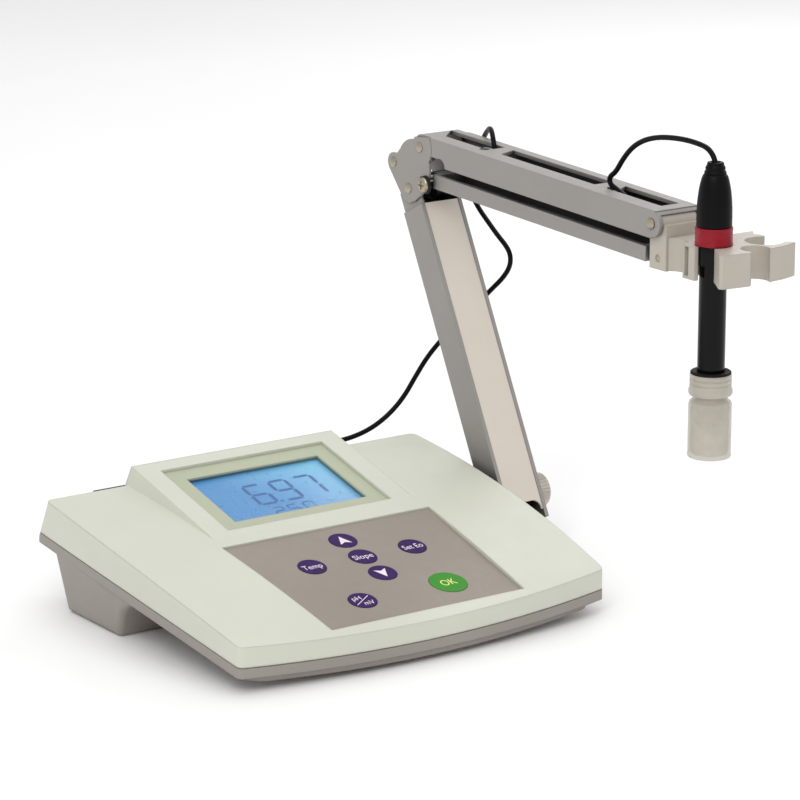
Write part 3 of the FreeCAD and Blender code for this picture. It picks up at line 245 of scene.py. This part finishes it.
MATERIALS = {
    "cover_plastic": surface("cover_plastic", linear(206, 208, 194), 0.42, 0.03, 1400, 0.00004, 10,
                             edge=0.0016),
    "base_plastic": surface("base_plastic", linear(150, 143, 137), 0.5, 0.05, 1400, 0.00004, 12, edge=0.0010),
    "bezel_plastic": surface("bezel_plastic", linear(178, 183, 158), 0.45, 0.04, 1400, 0.00003, 14),
    "display": back_lit("display", linear(78, 140, 192), linear(126, 190, 220)),
    "overlay": surface("overlay", linear(146, 136, 126), 0.5, 0.04, 2600, 0.00002, 16, edge=0.0002),
    "key_purple": surface("key_purple", linear(46, 6, 84), 0.6, 0.10, 1200, 0.00002, 60, specular=0.25),
    "key_green": surface("key_green", linear(48, 138, 24), 0.5, 0.08, 1200, 0.00002, 60, specular=0.25),
    "rubber_mat": surface("rubber_mat", (0.45, 0.45, 0.44), 0.7),
    "board": surface("board", (0.02, 0.11, 0.04), 0.4, 0.15, 400, 0.00002),
    "steel": surface("steel", (0.44, 0.385, 0.29), 0.34, 0.08, 700, 0.00002, 90, metal=1.0, edge=0.0003),
    "rubber": surface("rubber", (0.006, 0.006, 0.006), 0.6, 0.2, 1500, 0.00006, 50, specular=0.15),
    "socket_metal": surface("socket_metal", (0.60, 0.58, 0.55), 0.22, 0.08, 700, 0.00002, 90, metal=1.0,
                            edge=0.0003),
    "black_plastic": surface("black_plastic", (0.002, 0.002, 0.002), 0.38, 0.2, 1500, 0.00003, 60,
                             specular=0.12),
    "bracket_steel": surface("bracket_steel", (0.006, 0.006, 0.006), 0.5, 0.2, 900, 0.00008, 60,
                             specular=0.2),
    # the arms get painted shade in their hollows
    "arm_plastic": surface("arm_plastic", linear(151, 147, 143), 0.46, 0.035, 1500, 0.00004, 16, edge=0.0008,
                           painted_shade=0.9),
    "cover_steel": surface("cover_steel", linear(219, 209, 197), 0.36, 0.03, 900, 0.00002, 16, edge=0.0003),
    "spring_steel": surface("spring_steel", (0.62, 0.62, 0.62), 0.2, 0.1, 900, 0.00001, 90, metal=1.0),
    "head_plastic": surface("head_plastic", linear(184, 177, 166), 0.4, 0.035, 1400, 0.00003, 22,
                            edge=0.0009),
    "ring_red": surface("ring_red", linear(146, 2, 30), 0.32, 0.08, 900, 0.00001, 40, specular=0.3),
    "shaft_plastic": surface("shaft_plastic", (0.002, 0.002, 0.0025), 0.16, 0.2, 900, 0.00001, 40,
                             specular=0.16),
    "cap_plastic": milky("cap_plastic", linear(196, 190, 176), 0.25, 0.36),
    "bottle_plastic": milky("bottle_plastic", linear(206, 200, 186), 0.4),
    "cable": surface("cable", (0.002, 0.002, 0.002), 0.4, 0.25, 1400, 0.00003, 60, specular=0.12, edge=0.0),
    "glass": surface("glass", (0.75, 0.80, 0.78), 0.05, 0.05, 200, 0.00001, 30),
    "knob_metal": surface("knob_metal", (0.55, 0.51, 0.45), 0.42, 0.10, 900, 0.00003, 60, metal=0.85,
                          edge=0.0002),
    "lens": clear("lens", (0.97, 0.985, 1.0), 0.02),
}

PRINT = {  # for pieces that only the scene has, for the black washers, and for the black sleeve pair standing in for shade inside the elbow
    "legend": surface("legend", linear(236, 222, 232), 0.6, 0.05, 900, 0.00001, 90, edge=0.0),
    "legend_ok": surface("legend_ok", linear(226, 238, 132), 0.6, 0.05, 900, 0.00001, 90, edge=0.0),
    "segment": surface("segment", linear(52, 104, 160), 0.5, 0.06, 900, 0.00001, 90, edge=0.0),
    "trim": surface("trim", linear(70, 90, 84), 0.5, 0.1, 900, 0.00001, 90, edge=0.0),
    # black of the real washers, and of the sleeve pair that stands in for shade inside the elbow
    "washer_and_shade_black": surface("washer_and_shade_black", (0.02, 0.02, 0.02), 0.45, 0.2, 900, 0.00003, 90, metal=0.6),
}
SLOT = {part["node"]: part["material_slot"] for part in frame["record"]["subparts"]}


def paint_frame():
    """Every CAD node in the material of its slot."""
    for part in frame["record"]["subparts"]:
        node = frame["nodes"][part["node"]]
        node.data.materials.clear()
        node.data.materials.append(MATERIALS[part["material_slot"]])


# ---------------------------------------------------------------- camera, light and floor
CAMERA_SPOT = (-1.06174, -1.64128, 0.62462)
CAMERA_TURN = (-34.89, 14.74)  # degrees about the upright, and degrees down
LENS_LENGTH, SENSOR_WIDTH = 160.6, 36.0  # millimetres
FLOOR_REACH = 6.0
WORLD_STRENGTH = 0.7


def camera():
    """The camera stands to the front left, a little above the bench."""
    azimuth, elevation = (math.radians(turn) for turn in CAMERA_TURN)
    data = bpy.data.cameras.new("camera")
    data.lens = LENS_LENGTH
    data.sensor_width = SENSOR_WIDTH
    item = bpy.data.objects.new("camera", data)
    item.location = CAMERA_SPOT
    item.rotation_euler = (math.pi / 2 - elevation, 0.0, azimuth)
    bpy.context.scene.collection.objects.link(item)
    bpy.context.scene.camera = item


def light(name, spot, target, size, power):
    """A square area light of size metres and power watts that faces its target."""
    data = bpy.data.lights.new(name, "AREA")
    data.size = size
    data.energy = power
    item = bpy.data.objects.new(name, data)
    item.location = spot
    item.rotation_euler = (Vector(target) - Vector(spot)).to_track_quat("-Z", "Y").to_euler()
    bpy.context.scene.collection.objects.link(item)


def studio():
    """A plain pale floor under a white world, with three soft lights."""
    mesh = bpy.data.meshes.new("floor")
    corners = [(x * FLOOR_REACH, y * FLOOR_REACH, 0) for x, y in ((-1, -1), (1, -1), (1, 1), (-1, 1))]
    mesh.from_pydata(corners, [], [(0, 1, 2, 3)])
    floor = bpy.data.objects.new("floor", mesh)
    bpy.context.scene.collection.objects.link(floor)
    mesh.materials.append(surface("floor_paint", (0.97, 0.97, 0.97), 0.6, 0.01, 200, 0.00001, 3, edge=0.0))
    world = bpy.data.worlds.new("studio")
    world.use_nodes = True
    background = world.node_tree.nodes["Background"]
    background.inputs["Color"].default_value = (1.0, 1.0, 1.0, 1.0)
    background.inputs["Strength"].default_value = WORLD_STRENGTH
    bpy.context.scene.world = world
    light("key_light", (-1.6, -1.4, 2.2), (0, -0.05, 0.1), size=1.6, power=25)
    light("top_light", (0.3, 0.2, 2.4), (0, 0, 0.05), size=1.8, power=13)
    light("rim_light", (1.8, 1.0, 1.2), (0, 0, 0.1), size=1.2, power=8)


# ---------------------------------------------------------------- curves, tubes and turned pieces
def at(x, y, z):
    """A point in millimetres of the meter's plan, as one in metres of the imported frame."""
    return Vector((x * MM, y * MM + PLAN_Y, z * MM))


def tilted(origin, degrees):
    """The frame of a sloping face or arm, turned about X at its origin."""
    return Matrix.Translation(at(*origin)) @ Matrix.Rotation(math.radians(degrees), 4, "X")


HINGE = (96.858, 232.291)  # y and z of the pin that carries the upper arm, and so on for the other pins
ROD_PIN = (123.758, 219.291)
KNEE_PIN = (108.258, 205.791)
STRUT_PIN = (94.358, 213.191)
NOSE_PIN = (-121.481, 223.904)
LINK_PIN = (-123.981, 204.804)
FRICTION_SCREW = (89.908, 210.991)
KNOB = (24.656, 32.902)
PAD = tilted((0, -106.2, 24.9), 12.47)  # the keypad's face
HOOD = tilted((0, -1.2, 48.4), 13.85)  # the face round the display
LOWER_ARM = tilted((0, 21.092, 34.718), -27.0)
UPPER_ARM = tilted((0, *HINGE), 2.2)
ARM_X = 151.5  # the middle of the arm
PIN_RADIUS = 2.0
WALL_IN, WALL_OUT = 12.2, 15  # the elbow's wall, measured from the middle of the arm
PIECE_CREASE, TUBE_CREASE = math.radians(38), math.radians(50)  # sharper edges than these stay sharp
TOOTHED_FROM = 0.93  # teeth are cut where the radius is over this share of the widest
TOOTH_STEPS = 6  # points across one tooth
ROUNDED_SHARE = 0.45  # a rounded corner takes no more than this share of either side


def put(item, node, material=None, hides=True, blend=None):
    """Finish a piece that belongs with a CAD node: its material, its slot, and the body it follows.

    hides says that the piece takes the node's place, and blend bends it from one body to the next.
    """
    item.data.materials.clear()
    item.data.materials.append(material or MATERIALS[SLOT[node]])
    if blend:
        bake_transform(item, *blend)
    else:
        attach(item, body_of(frame["nodes"][node])[0])
    if hides:
        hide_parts(node)
    return item


def mesh_piece(name, *parts):
    """One mesh from (vertices, faces) pairs, smooth except at its sharp edges."""
    vertices, faces = [], []
    for spots, loops in parts:
        faces += [[index + len(vertices) for index in loop] for loop in loops]
        vertices += [tuple(spot) for spot in spots]
    mesh = bpy.data.meshes.new(name)
    mesh.from_pydata(vertices, [], faces)
    mesh.shade_smooth()
    mesh.set_sharp_from_angle(angle=PIECE_CREASE)
    item = bpy.data.objects.new(name, mesh)
    bpy.context.scene.collection.objects.link(item)
    return item


def softened(profile, radius, steps=3):
    """The same outline with its corners rounded off."""
    result = [profile[0]]
    for before, corner, after in zip(profile, profile[1:], profile[2:]):
        here, one, two = Vector(corner), Vector(before) - Vector(corner), Vector(after) - Vector(corner)
        reach = min(radius, one.length * ROUNDED_SHARE, two.length * ROUNDED_SHARE)
        start, end = here + one.normalized() * reach, here + two.normalized() * reach
        for step in range(steps + 1):
            t = step / steps
            spot = start * (1 - t) ** 2 + here * 2 * t * (1 - t) + end * t ** 2
            result.append((spot.x, spot.y))
    return result + [profile[-1]]


def turned(profile, centre, axis="Z", steps=72, teeth=0, depth=0.0):
    """A piece of revolution from (radius, height) pairs, with teeth cut into its widest part.

    For the axes X and Y, the height is a coordinate along that axis, and the centre's own one is unused.
    """
    toothed = TOOTHED_FROM * max(radius for radius, _ in profile)
    steps = teeth * TOOTH_STEPS if teeth else steps
    spots = []
    for radius, height in profile:
        for step in range(steps):
            turn = 2 * math.pi * step / steps
            bite = depth * (0.5 - 0.5 * math.cos(teeth * turn)) if radius > toothed else 0.0
            u, v = (radius - bite) * math.cos(turn), (radius - bite) * math.sin(turn)
            x, y, z = centre
            spots.append({"Z": at(x + u, y + v, height), "X": at(height, y + u, z + v),
                          "Y": at(x + v, height, z + u)}[axis])
    faces = []
    for ring in range(len(profile) - 1):
        for step in range(steps):
            a, b = ring * steps + step, ring * steps + (step + 1) % steps
            faces.append((a, b, b + steps, a + steps))
    faces += [tuple(range(steps))[::-1], tuple(range(len(spots) - steps, len(spots)))]
    return spots, faces


def ring_turned(profile, centre, axis="Z", **how):
    """A turned piece whose outline closes on itself round an open middle."""
    spots, faces = turned(profile + profile[:1], centre, axis, **how)
    return spots, faces[:-2]


def spline_object(name, routes, radius, sides=5):
    """Round tubes on smooth NURBS lines through their control points."""
    data = bpy.data.curves.new(name, "CURVE")
    data.dimensions = "3D"
    for points in routes:
        line = data.splines.new("NURBS")
        line.points.add(len(points) - 1)
        for spot, target in zip(line.points, points):
            spot.co = (*target, 1.0)
        line.order_u = 3
        line.use_endpoint_u = True
        line.resolution_u = 8
    data.bevel_depth = radius
    data.bevel_resolution = sides
    data.use_fill_caps = True
    item = bpy.data.objects.new(name, data)
    bpy.context.scene.collection.objects.link(item)
    return item


def as_mesh(item):
    """The same piece as a plain mesh object."""
    mesh = bpy.data.meshes.new_from_object(item.evaluated_get(bpy.context.evaluated_depsgraph_get()))
    name = item.name
    bpy.data.objects.remove(item)
    result = bpy.data.objects.new(name, mesh)
    bpy.context.scene.collection.objects.link(result)
    mesh.shade_smooth()
    mesh.set_sharp_from_angle(angle=TUBE_CREASE)
    return result


def centre_line(points):
    """Points read from the smooth line itself, and its length."""
    bare = spline_object("centre_line", [points], 0.0)
    mesh = bpy.data.meshes.new_from_object(bare.evaluated_get(bpy.context.evaluated_depsgraph_get()))
    spots = [vertex.co.copy() for vertex in mesh.vertices]
    bpy.data.objects.remove(bare)
    length = sum((b - a).length for a, b in zip(spots, spots[1:]))
    return spots, length


# ---------------------------------------------------------------- electrode and bottle
PROBE = (150.0, -158.5, 0.0)


def electrode():
    """The shaft, colour ring, boot and strain relief, all turned about one line."""
    shaft = [(0, 118), (7.55, 118), (7.55, 207), (10.1, 207), (10.1, 217.3), (0, 217.4)]
    put(mesh_piece("shaft_sleeve", turned(softened(shaft, 0.5), PROBE)), "electrode_shaft")
    ring = [(0, 217.4), (10.3, 217.4), (10.3, 219.0), (10.15, 219.2), (10.15, 225.4), (10.3, 225.6),
            (10.3, 227.3), (0, 227.3)]
    put(mesh_piece("ring_band", turned(softened(ring, 0.35), PROBE)), "colour_ring")
    boot = [(0, 227.3), (9.5, 227.3), (9.7, 228), (9.7, 233), (9.6, 238), (9.3, 242.4), (8.8, 246.8),
            (8.25, 250), (7.6, 252.8), (7.0, 254.6), (6.5, 255.6), (5.9, 256), (0, 256)]
    put(mesh_piece("boot_shell", turned(softened(boot, 0.8, 4), PROBE)), "electrode_boot")
    relief = [(0, 256), (6.1, 256), (5.9, 257.6), (5.35, 257.9), (5.3, 258.7), (5.55, 259), (5.1, 260.4),
              (4.7, 260.7), (4.65, 261.4), (4.3, 262.5), (2.7, 262.5), (2.7, 257.4), (0, 257.4)]
    put(mesh_piece("relief_cuff", turned(softened(relief, 0.3), PROBE)), "strain_relief")


def bottle():
    """The storage bottle, its cap and the seal between the cap and the shaft."""
    wall = [(0, 99.4), (12, 99.4), (12, 101.6), (11.85, 102.1), (11.85, 130.2), (9.3, 132), (9.3, 141),
            (8, 141), (8, 131.4), (10.6, 129.6), (10.6, 103), (9.4, 100.9), (0, 100.9)]
    put(mesh_piece("bottle_wall", turned(softened(wall, 2.2, 5), PROBE)), "storage_bottle")
    cap = [(7.63, 146.2), (10.9, 146.2), (11.45, 145.6), (11.45, 143.7), (11.1, 143.4), (11.1, 143.0),
           (11.45, 142.7), (11.45, 140.9), (11.1, 140.6), (11.1, 140.2), (11.45, 139.9), (11.45, 138.2),
           (12, 137.4), (12, 135.2), (11.3, 134.2), (9.4, 134.2), (9.4, 144.2), (7.63, 144.2)]
    put(mesh_piece("cap_shell", ring_turned(cap, PROBE)), "bottle_cap")
    seal = [(7.63, 146.3), (7.63, 147.2), (8.0, 147.4), (10.7, 147.4), (11.2, 147.0), (11.2, 146.2),
            (8.0, 146.2)]
    put(mesh_piece("seal_ring", ring_turned(seal, PROBE)), "bottle_grommet")


# ---------------------------------------------------------------- knob, rivets, screws, springs, plug
def dome(outer, side):
    """Half outline of a rivet's head, from its rim to its crown, on one side of a pin."""
    return [(3.1, outer * side), (3.0, (outer + 0.5) * side), (2.5, (outer + 0.9) * side),
            (1.5, (outer + 1.14) * side), (0, (outer + 1.2) * side)]


def riveted(spot, half):
    """A pin right across the arm with a domed head at each end."""
    profile = dome(half, -1)[::-1] + [(PIN_RADIUS, -half), (PIN_RADIUS, half)] + dome(half, 1)
    return turned([(radius, ARM_X + height) for radius, height in profile], (0, *spot), "X", 40)


def short_rivet(spot, side):
    """A rivet through one wall of the arm, with its head outside."""
    inner, outer = WALL_IN * side, WALL_OUT * side
    profile = [(0, inner), (PIN_RADIUS, inner), (PIN_RADIUS, outer)] + dome(WALL_OUT, side)
    return turned([(radius, ARM_X + height) for radius, height in profile], (0, *spot), "X", 40)


def plain_pin(spot, half):
    """A pin across the arm, without heads."""
    profile = softened([(0, -half), (PIN_RADIUS, -half), (PIN_RADIUS, half), (0, half)], 0.4)
    return turned([(radius, ARM_X + height) for radius, height in profile], (0, *spot), "X", 40)


def pins():
    """The rivets and pins at both ends of the upper arm, and a black sleeve on each side of the knee's pivot,
    dark to stand in for the shade inside the elbow.
    """
    put(mesh_piece("elbow_rivets", riveted(HINGE, WALL_OUT), riveted(ROD_PIN, WALL_OUT),
                   short_rivet(KNEE_PIN, -1), short_rivet(KNEE_PIN, 1), plain_pin(STRUT_PIN, half=14.9)),
        "elbow_pins")
    put(mesh_piece("nose_rivets", riveted(NOSE_PIN, half=15.3), plain_pin(LINK_PIN, half=11.8)), "head_pins")
    bore, outside = 2.06, 8.1
    shade_sleeves = []
    for low, high in ((139.7, 147.0), (152.0, 163.3)):
        tube = [(bore, low), (outside, low), (outside, high), (bore, high)]
        shade_sleeves.append(ring_turned(softened(tube, 0.5), (0, *KNEE_PIN), "X", steps=48))
    # a black sleeve pair that stands in for the shade inside the elbow
    put(mesh_piece("knee_shade_sleeves", *shade_sleeves), "elbow_pins", PRINT["washer_and_shade_black"], hides=False)


def cross_arms(centre, low, high):
    """The two bars of a cross recess, as (vertices, faces) pairs."""
    x, y, z = centre
    faces = [(0, 1, 3, 2), (4, 6, 7, 5), (0, 4, 5, 1), (2, 3, 7, 6), (0, 2, 6, 4), (1, 5, 7, 3)]
    for wide, tall in ((2.6, 0.55), (0.55, 2.6)):
        yield [at(u, y + v, z + w) for u in (low, high) for v in (-wide, wide) for w in (-tall, tall)], faces


def friction_screw():
    """The pan-headed screw with a cross recess that sets the elbow's friction, on its washers."""
    centre = (0, *FRICTION_SCREW)
    washers = [(0, 136.45), (5.4, 136.45), (5.4, 135.85), (4.9, 135.75), (5.2, 135.65), (5.2, 134.9),
               (0, 134.9)]
    put(mesh_piece("washer_pair", turned(softened(washers, 0.12, 2), centre, "X", 56)), "friction_washers",
        PRINT["washer_and_shade_black"])
    head = softened([(0, 134.9), (4.6, 134.9), (4.6, 133.9), (4.1, 133.1), (2.6, 132.65), (0, 132.6)], 0.4)
    screw = mesh_piece("pan_head", turned(head, centre, "X", 56))
    for index, bar in enumerate(cross_arms(centre, 132.0, 133.7)):
        tool = mesh_piece(f"cross_tool_{index}", bar)
        recess = screw.modifiers.new("recess", "BOOLEAN")
        recess.operation = "DIFFERENCE"
        recess.solver = "EXACT"
        recess.object = tool
        bpy.context.view_layer.update()
        screw = as_mesh(screw)
        bpy.data.objects.remove(tool)
    put(screw, "friction_screw")


def thumb_knob():
    knob = softened([(0, 166.1), (6, 166.1), (6, 166.6), (9.4, 166.6), (10.4, 167.4), (10.4, 173.8),
                     (9.4, 174.6), (4.2, 174.6), (3.8, 174.0), (0, 174.0)], 0.3)
    put(mesh_piece("knurled_knob", turned(knob, (0, *KNOB), "X", teeth=30, depth=0.75)), "thumb_knob")


COIL_STEPS = 12  # points in each turn of a spring


def coil(place, centre, axis, low, high, radius, pitch, tails):
    """The winding of a spring about a line along Y or Z of its own frame, with straight ends."""
    turns = (high - low) / pitch
    points = []
    for step in range(int(turns * COIL_STEPS) + 1):
        angle = 2 * math.pi * step / COIL_STEPS
        along = low + pitch * step / COIL_STEPS
        u, v = radius * math.cos(angle), radius * math.sin(angle)
        x, other = centre
        points.append((x + u, other + v, along) if axis == "Z" else (x + u, along, other + v))
    for end, where in zip(tails, (0, len(points))):
        x, other = centre
        near = low if where == 0 else high
        spots = [(x, other, end), (x, other, near)] if axis == "Z" else [(x, end, other), (x, near, other)]
        points[where:where] = spots if where == 0 else spots[::-1]
    return [place @ Vector([part * MM for part in point]) for point in points]


def springs():
    """The pair of springs in the lower arm and the single one in the upper arm."""
    routes = [coil(LOWER_ARM, (ARM_X + side * 8.7, 1.0), "Z", low=60.0, high=151.0, radius=2.25, pitch=1.15,
                   tails=(40.5, 178.5)) for side in (-1, 1)]
    put(as_mesh(spline_object("lower_coils", routes, 0.5 * MM, sides=1)), "balance_springs")
    route = coil(UPPER_ARM, (149.5, -3.0), "Y", low=-135.5, high=-76.5, radius=2.6, pitch=1.3,
                 tails=(-160.5, -45.5))
    put(as_mesh(spline_object("upper_coil", [route], 0.55 * MM, sides=1)), "tension_spring")


def plug():
    """The ribbed plug on the lead's end, open towards the socket."""
    outline = [(4.9, 98.2), (6.9, 98.2), (7.2, 98.6), (7.2, 101), (6.8, 101.2), (6.8, 101.8), (7.2, 102),
               (7.2, 104.5), (6.8, 104.7), (6.8, 105.3), (7.2, 105.5), (7.2, 109.6), (6.6, 110.1), (5, 110.1),
               (5, 112), (4.5, 112.2), (4.5, 113), (5, 113.2), (4.9, 115), (4.4, 115.2), (4.4, 116),
               (4.8, 116.2), (4.6, 118), (4.1, 118.4), (0, 118.5)]
    room = [(0, 107.4), (4.9, 107.4)]
    return put(mesh_piece("plug_shell", turned(room + outline, (45, 0, 50), "Y", 60)), "lead_plug")


# ---------------------------------------------------------------- printed legends and display digits
def flat(outline, level, thick=0.02):
    """A thin printed shape from an outline in millimetres."""
    count = len(outline)
    spots = [Vector((x * MM, y * MM, z * MM)) for z in (level, level + thick) for x, y in outline]
    sides = [(i, (i + 1) % count, count + (i + 1) % count, count + i) for i in range(count)]
    return spots, [tuple(range(count))[::-1], tuple(range(count, 2 * count))] + sides


def printed(name, node, place, material, *shapes):
    """Printed shapes on a sloping face."""
    moved = [([place @ spot for spot in spots], faces) for spots, faces in shapes]
    return put(mesh_piece(name, *moved), node, PRINT[material], hides=False)


CAPITAL = 0.7  # height of the font's capitals at its size of one


def words(name, text, node, place, spot, width, height, material):
    """Lettering of a given width and capital height, centred on a spot of a sloping face."""
    data = bpy.data.curves.new(name, "FONT")
    data.body = text
    data.align_x = "CENTER"
    data.extrude = 0.01
    item = bpy.data.objects.new(name, data)
    bpy.context.scene.collection.objects.link(item)
    item = as_mesh(item)
    spots = [vertex.co for vertex in item.data.vertices]
    low, high = min(spot.x for spot in spots), max(spot.x for spot in spots)
    stretch = width / (high - low)
    for vertex in item.data.vertices:
        x, y, z = vertex.co
        local = ((x - (low + high) / 2) * stretch + spot[0],
                 (y - CAPITAL / 2) * height / CAPITAL + spot[1], z + spot[2])
        vertex.co = place @ Vector([part * MM for part in local])
    put(item, node, PRINT[material], hides=False)


KEY_SPOTS = {  # across the keypad, and up its slope
    "key_up": (0, 85), "key_slope": (0, 65), "key_down": (0, 45), "key_temperature": (-33.5, 65),
    "key_set": (33.5, 65), "key_mode": (-28.4, 22.5), "key_ok": (28.4, 22.5),
}
KEY_TOP = 0.26  # height of the keys over the keypad's face


def legends():
    """The words, letters and arrows on the keys."""
    for node, text, width in (("key_slope", "Slope", 12.6), ("key_temperature", "Temp", 12.2),
                              ("key_set", "Set Eo", 12.8)):
        x, w = KEY_SPOTS[node]
        words(node + "_legend", text, node, PAD, (x, w, KEY_TOP), width, height=4.6, material="legend")
    x, w = KEY_SPOTS["key_ok"]
    words("key_ok_legend", "OK", "key_ok", PAD, (x, w, KEY_TOP), width=9.6, height=6.0, material="legend_ok")
    x, w = KEY_SPOTS["key_mode"]
    words("key_mode_upper", "pH", "key_mode", PAD, (x - 2.4, w + 3.0, KEY_TOP), width=5.6, height=3.9,
          material="legend")
    words("key_mode_lower", "mV", "key_mode", PAD, (x + 2.2, w - 3.2, KEY_TOP), width=6.4, height=3.9,
          material="legend")
    line = [(x - 5.8, w - 3.4), (x - 5.6, w - 3.8), (x + 5.8, w + 3.4), (x + 5.6, w + 3.8)]
    printed("key_mode_line", "key_mode", PAD, "legend", flat(line, KEY_TOP))
    for node, way in (("key_up", 1), ("key_down", -1)):
        x, w = KEY_SPOTS[node]
        arrow = [(x + u * way, w + v * way) for u, v in ((0, 4.8), (-3.8, -3.9), (0, -2.1), (3.8, -3.9))]
        printed(node + "_arrow", node, PAD, "legend", flat(arrow[:3], KEY_TOP),
                flat([arrow[0], arrow[2], arrow[3]], KEY_TOP))


SEGMENTS = {  # each segment as its two ends on a 1 by 2 grid
    "a": ((0, 2), (1, 2)), "b": ((1, 2), (1, 1)), "c": ((1, 1), (1, 0)), "d": ((0, 0), (1, 0)),
    "e": ((0, 1), (0, 0)), "f": ((0, 2), (0, 1)), "g": ((0, 1), (1, 1)),
}
# the segments that each figure lights
DIGITS = {"0": "abcdef", "2": "abged", "5": "afgcd", "6": "afgedc", "7": "abc", "9": "abfgcd"}
LCD_TOP = -4.47  # height of the display's face, measured from the hood's
LENS_TOP = -2.99
SEGMENT_GAP = 0.15  # half the gap between two segments, as a share of their width


def digit(figure, x, w, wide, high, stroke):
    """The lit segments of one figure, each a bar with pointed ends."""
    shapes = []
    for letter in DIGITS[figure]:
        (x0, w0), (x1, w1) = SEGMENTS[letter]
        start = Vector((x + (x0 - 0.5) * wide, w + (w0 / 2 - 0.5) * high))
        end = Vector((x + (x1 - 0.5) * wide, w + (w1 / 2 - 0.5) * high))
        along = (end - start).normalized()
        side = Vector((-along.y, along.x)) * stroke / 2
        start, end = start + along * stroke * SEGMENT_GAP, end - along * stroke * SEGMENT_GAP
        tip = along * stroke / 2
        outline = [start, start + tip - side, end - tip - side, end, end - tip + side, start + tip + side]
        shapes.append(flat([(spot.x, spot.y) for spot in outline], LCD_TOP))
    return shapes


def display():
    """Two rows of figures with their points, and the dark line round the window."""
    shapes = []
    for figure, x in zip("697", (-10.6, 6.9, 24.0)):
        shapes += digit(figure, x, 47.2, wide=11.0, high=22.0, stroke=2.3)
    shapes.append(flat([(-3.0, 35.6), (-1.0, 35.6), (-1.0, 37.4), (-3.0, 37.4)], LCD_TOP))
    for figure, x in zip("250", (-9.6, 0.2, 10.6)):
        shapes += digit(figure, x, 26.6, wide=6.2, high=8.6, stroke=1.1)
    shapes.append(flat([(5.0, 22.2), (5.9, 22.2), (5.9, 23.1), (5.0, 23.1)], LCD_TOP))
    printed("lcd_figures", "lcd_module", HOOD, "segment", *shapes)
    bars = []
    half, start, end, width = 44.5, 19.8, 72.5, 0.5
    for left, right, low, high in ((-half, half, start, start + width), (-half, half, end - width, end),
                                   (-half, width - half, start, end), (half - width, half, start, end)):
        bars.append(flat([(left, low), (right, low), (right, high), (left, high)], LENS_TOP))
    printed("window_trim", "display_lens", HOOD, "trim", *bars)


# ---------------------------------------------------------------- electrode lead
LEAD_RADIUS = 1.5 * MM
ARCH_MIDDLE = (150.05, -128, 270.3)  # on the straight run between the arch's sixth and seventh points
ARCH = [  # each route in millimetres, from the electrode towards the meter
    (150, -159.4, 258.6), (150, -158.1, 263.0), (150, -155.4, 266.6), (150, -151.1, 269.1),
    (150, -144.4, 270.1), (150, -134, 270.6), (150.1, -122, 270.0), (150.2, -109.5, 268.4),
    (150.3, -97.5, 265.1), (150.4, -87, 259.6), (150.4, -78.6, 251.4), (150.4, -72.6, 243.2),
    (150.4, -66.8, 239.5), (150.5, -67.4, 235.3), (150.8, -74.0, 233.2), (150.2, -81.5, 230.6),
    (148.9, -90, 228.2), (148.3, -98, 226.8), (151, -104.5, 225.9), (156, -106.5, 225.6),
    (160.4, -103, 225.5), (161.5, -95.5, 225.6), (161.7, -83, 226.0), (161.2, -60, 226.7),
    (161.6, -22, 228.0), (160.8, 4, 229.0), (159.8, 22, 229.5), (158.95, 30, 229.55),
]
CROSSING = [
    (158.95, 30, 229.55), (158.1, 38, 229.6), (157.2, 45, 230.6), (157, 49.4, 234.6), (157.3, 51.4, 241),
    (161, 58.6, 246.4), (166.4, 68.4, 244.8), (171.4, 79, 239), (173.6, 87.6, 230), (174.7, 94.4, 219),
    (174.95, 96.9, 213),
]
DROP = [
    (174.95, 96.9, 213), (175.2, 99.4, 207), (175.4, 97.6, 199.4), (175.5, 90.6, 192), (175.5, 82.4, 186.4),
    (175.55, 76.9, 182.6),
]
TAIL = [
    (175.55, 76.9, 182.6), (175.6, 71.4, 178.8), (175.8, 63.8, 174.4), (176.4, 59.4, 169.2),
    (176.2, 59.5, 162), (175, 64.8, 154.2), (173.2, 74.5, 145.3), (171, 84, 136), (167.5, 95, 124.5),
    (162, 107, 111.5),
    (155.5, 115, 98.5), (149.5, 119.5, 85.5), (143, 122, 73.5), (133.5, 124, 63.5), (121.5, 125, 56.5),
    (108.5, 126, 52.6), (96, 129.5, 50.4), (83.5, 136.5, 49.4), (71.5, 143.5, 49.5), (59.5, 144.5, 49.8),
    (50, 138.2, 50), (45.3, 128.5, 50), (45, 118.5, 50),
]


def lead_stretch(name, node, route, bodies, start, end, with_pieces=()):
    """One stretch of the lead, bent across the joint between its two bodies, from start to end."""
    points = [(x * MM, y * MM + PLAN_Y, z * MM) for x, y, z in route]
    spots, length = centre_line(points)
    tube = as_mesh(spline_object(name + "_cord", [points], LEAD_RADIUS))
    put(tube, node, blend=(*bodies, start, end))
    return tube


def lead():
    """The whole lead; its arch is one CAD node in two stretches, because it passes two joints."""
    lead_stretch("lead_rise", "lead_arch", ARCH[:6] + [ARCH_MIDDLE], ("electrode", "head"),
                 (0.15, -0.199, 0.262), (0.15, -0.172, 0.27))
    lead_stretch("lead_arch", "lead_arch", [ARCH_MIDDLE] + ARCH[6:], ("head", "upper_arm_body"),
                 (0.15, -0.167, 0.27), (0.15, -0.125, 0.26))
    lead_stretch("lead_crossing", "lead_crossing", CROSSING, ("upper_arm_body", "elbow"),
                 (0.157, 0.012, 0.24), (0.174, 0.050, 0.222))
    lead_stretch("lead_drop", "lead_drop", DROP, ("elbow", "lower_arm"),
                 (0.175, 0.057, 0.21), (0.1755, 0.038, 0.184))
    lead_stretch("lead_tail", "lead_tail", TAIL, ("lower_arm", "meter"),
                 (0.1755, 0.024, 0.172), (0.15, 0.08, 0.09), [plug()])


# ---------------------------------------------------------------- the whole scene
bpy.context.scene.view_settings.view_transform = "Standard"
camera()
studio()
paint_frame()
electrode()
bottle()
pins()
friction_screw()
thumb_knob()
springs()
legends()
display()
lead()
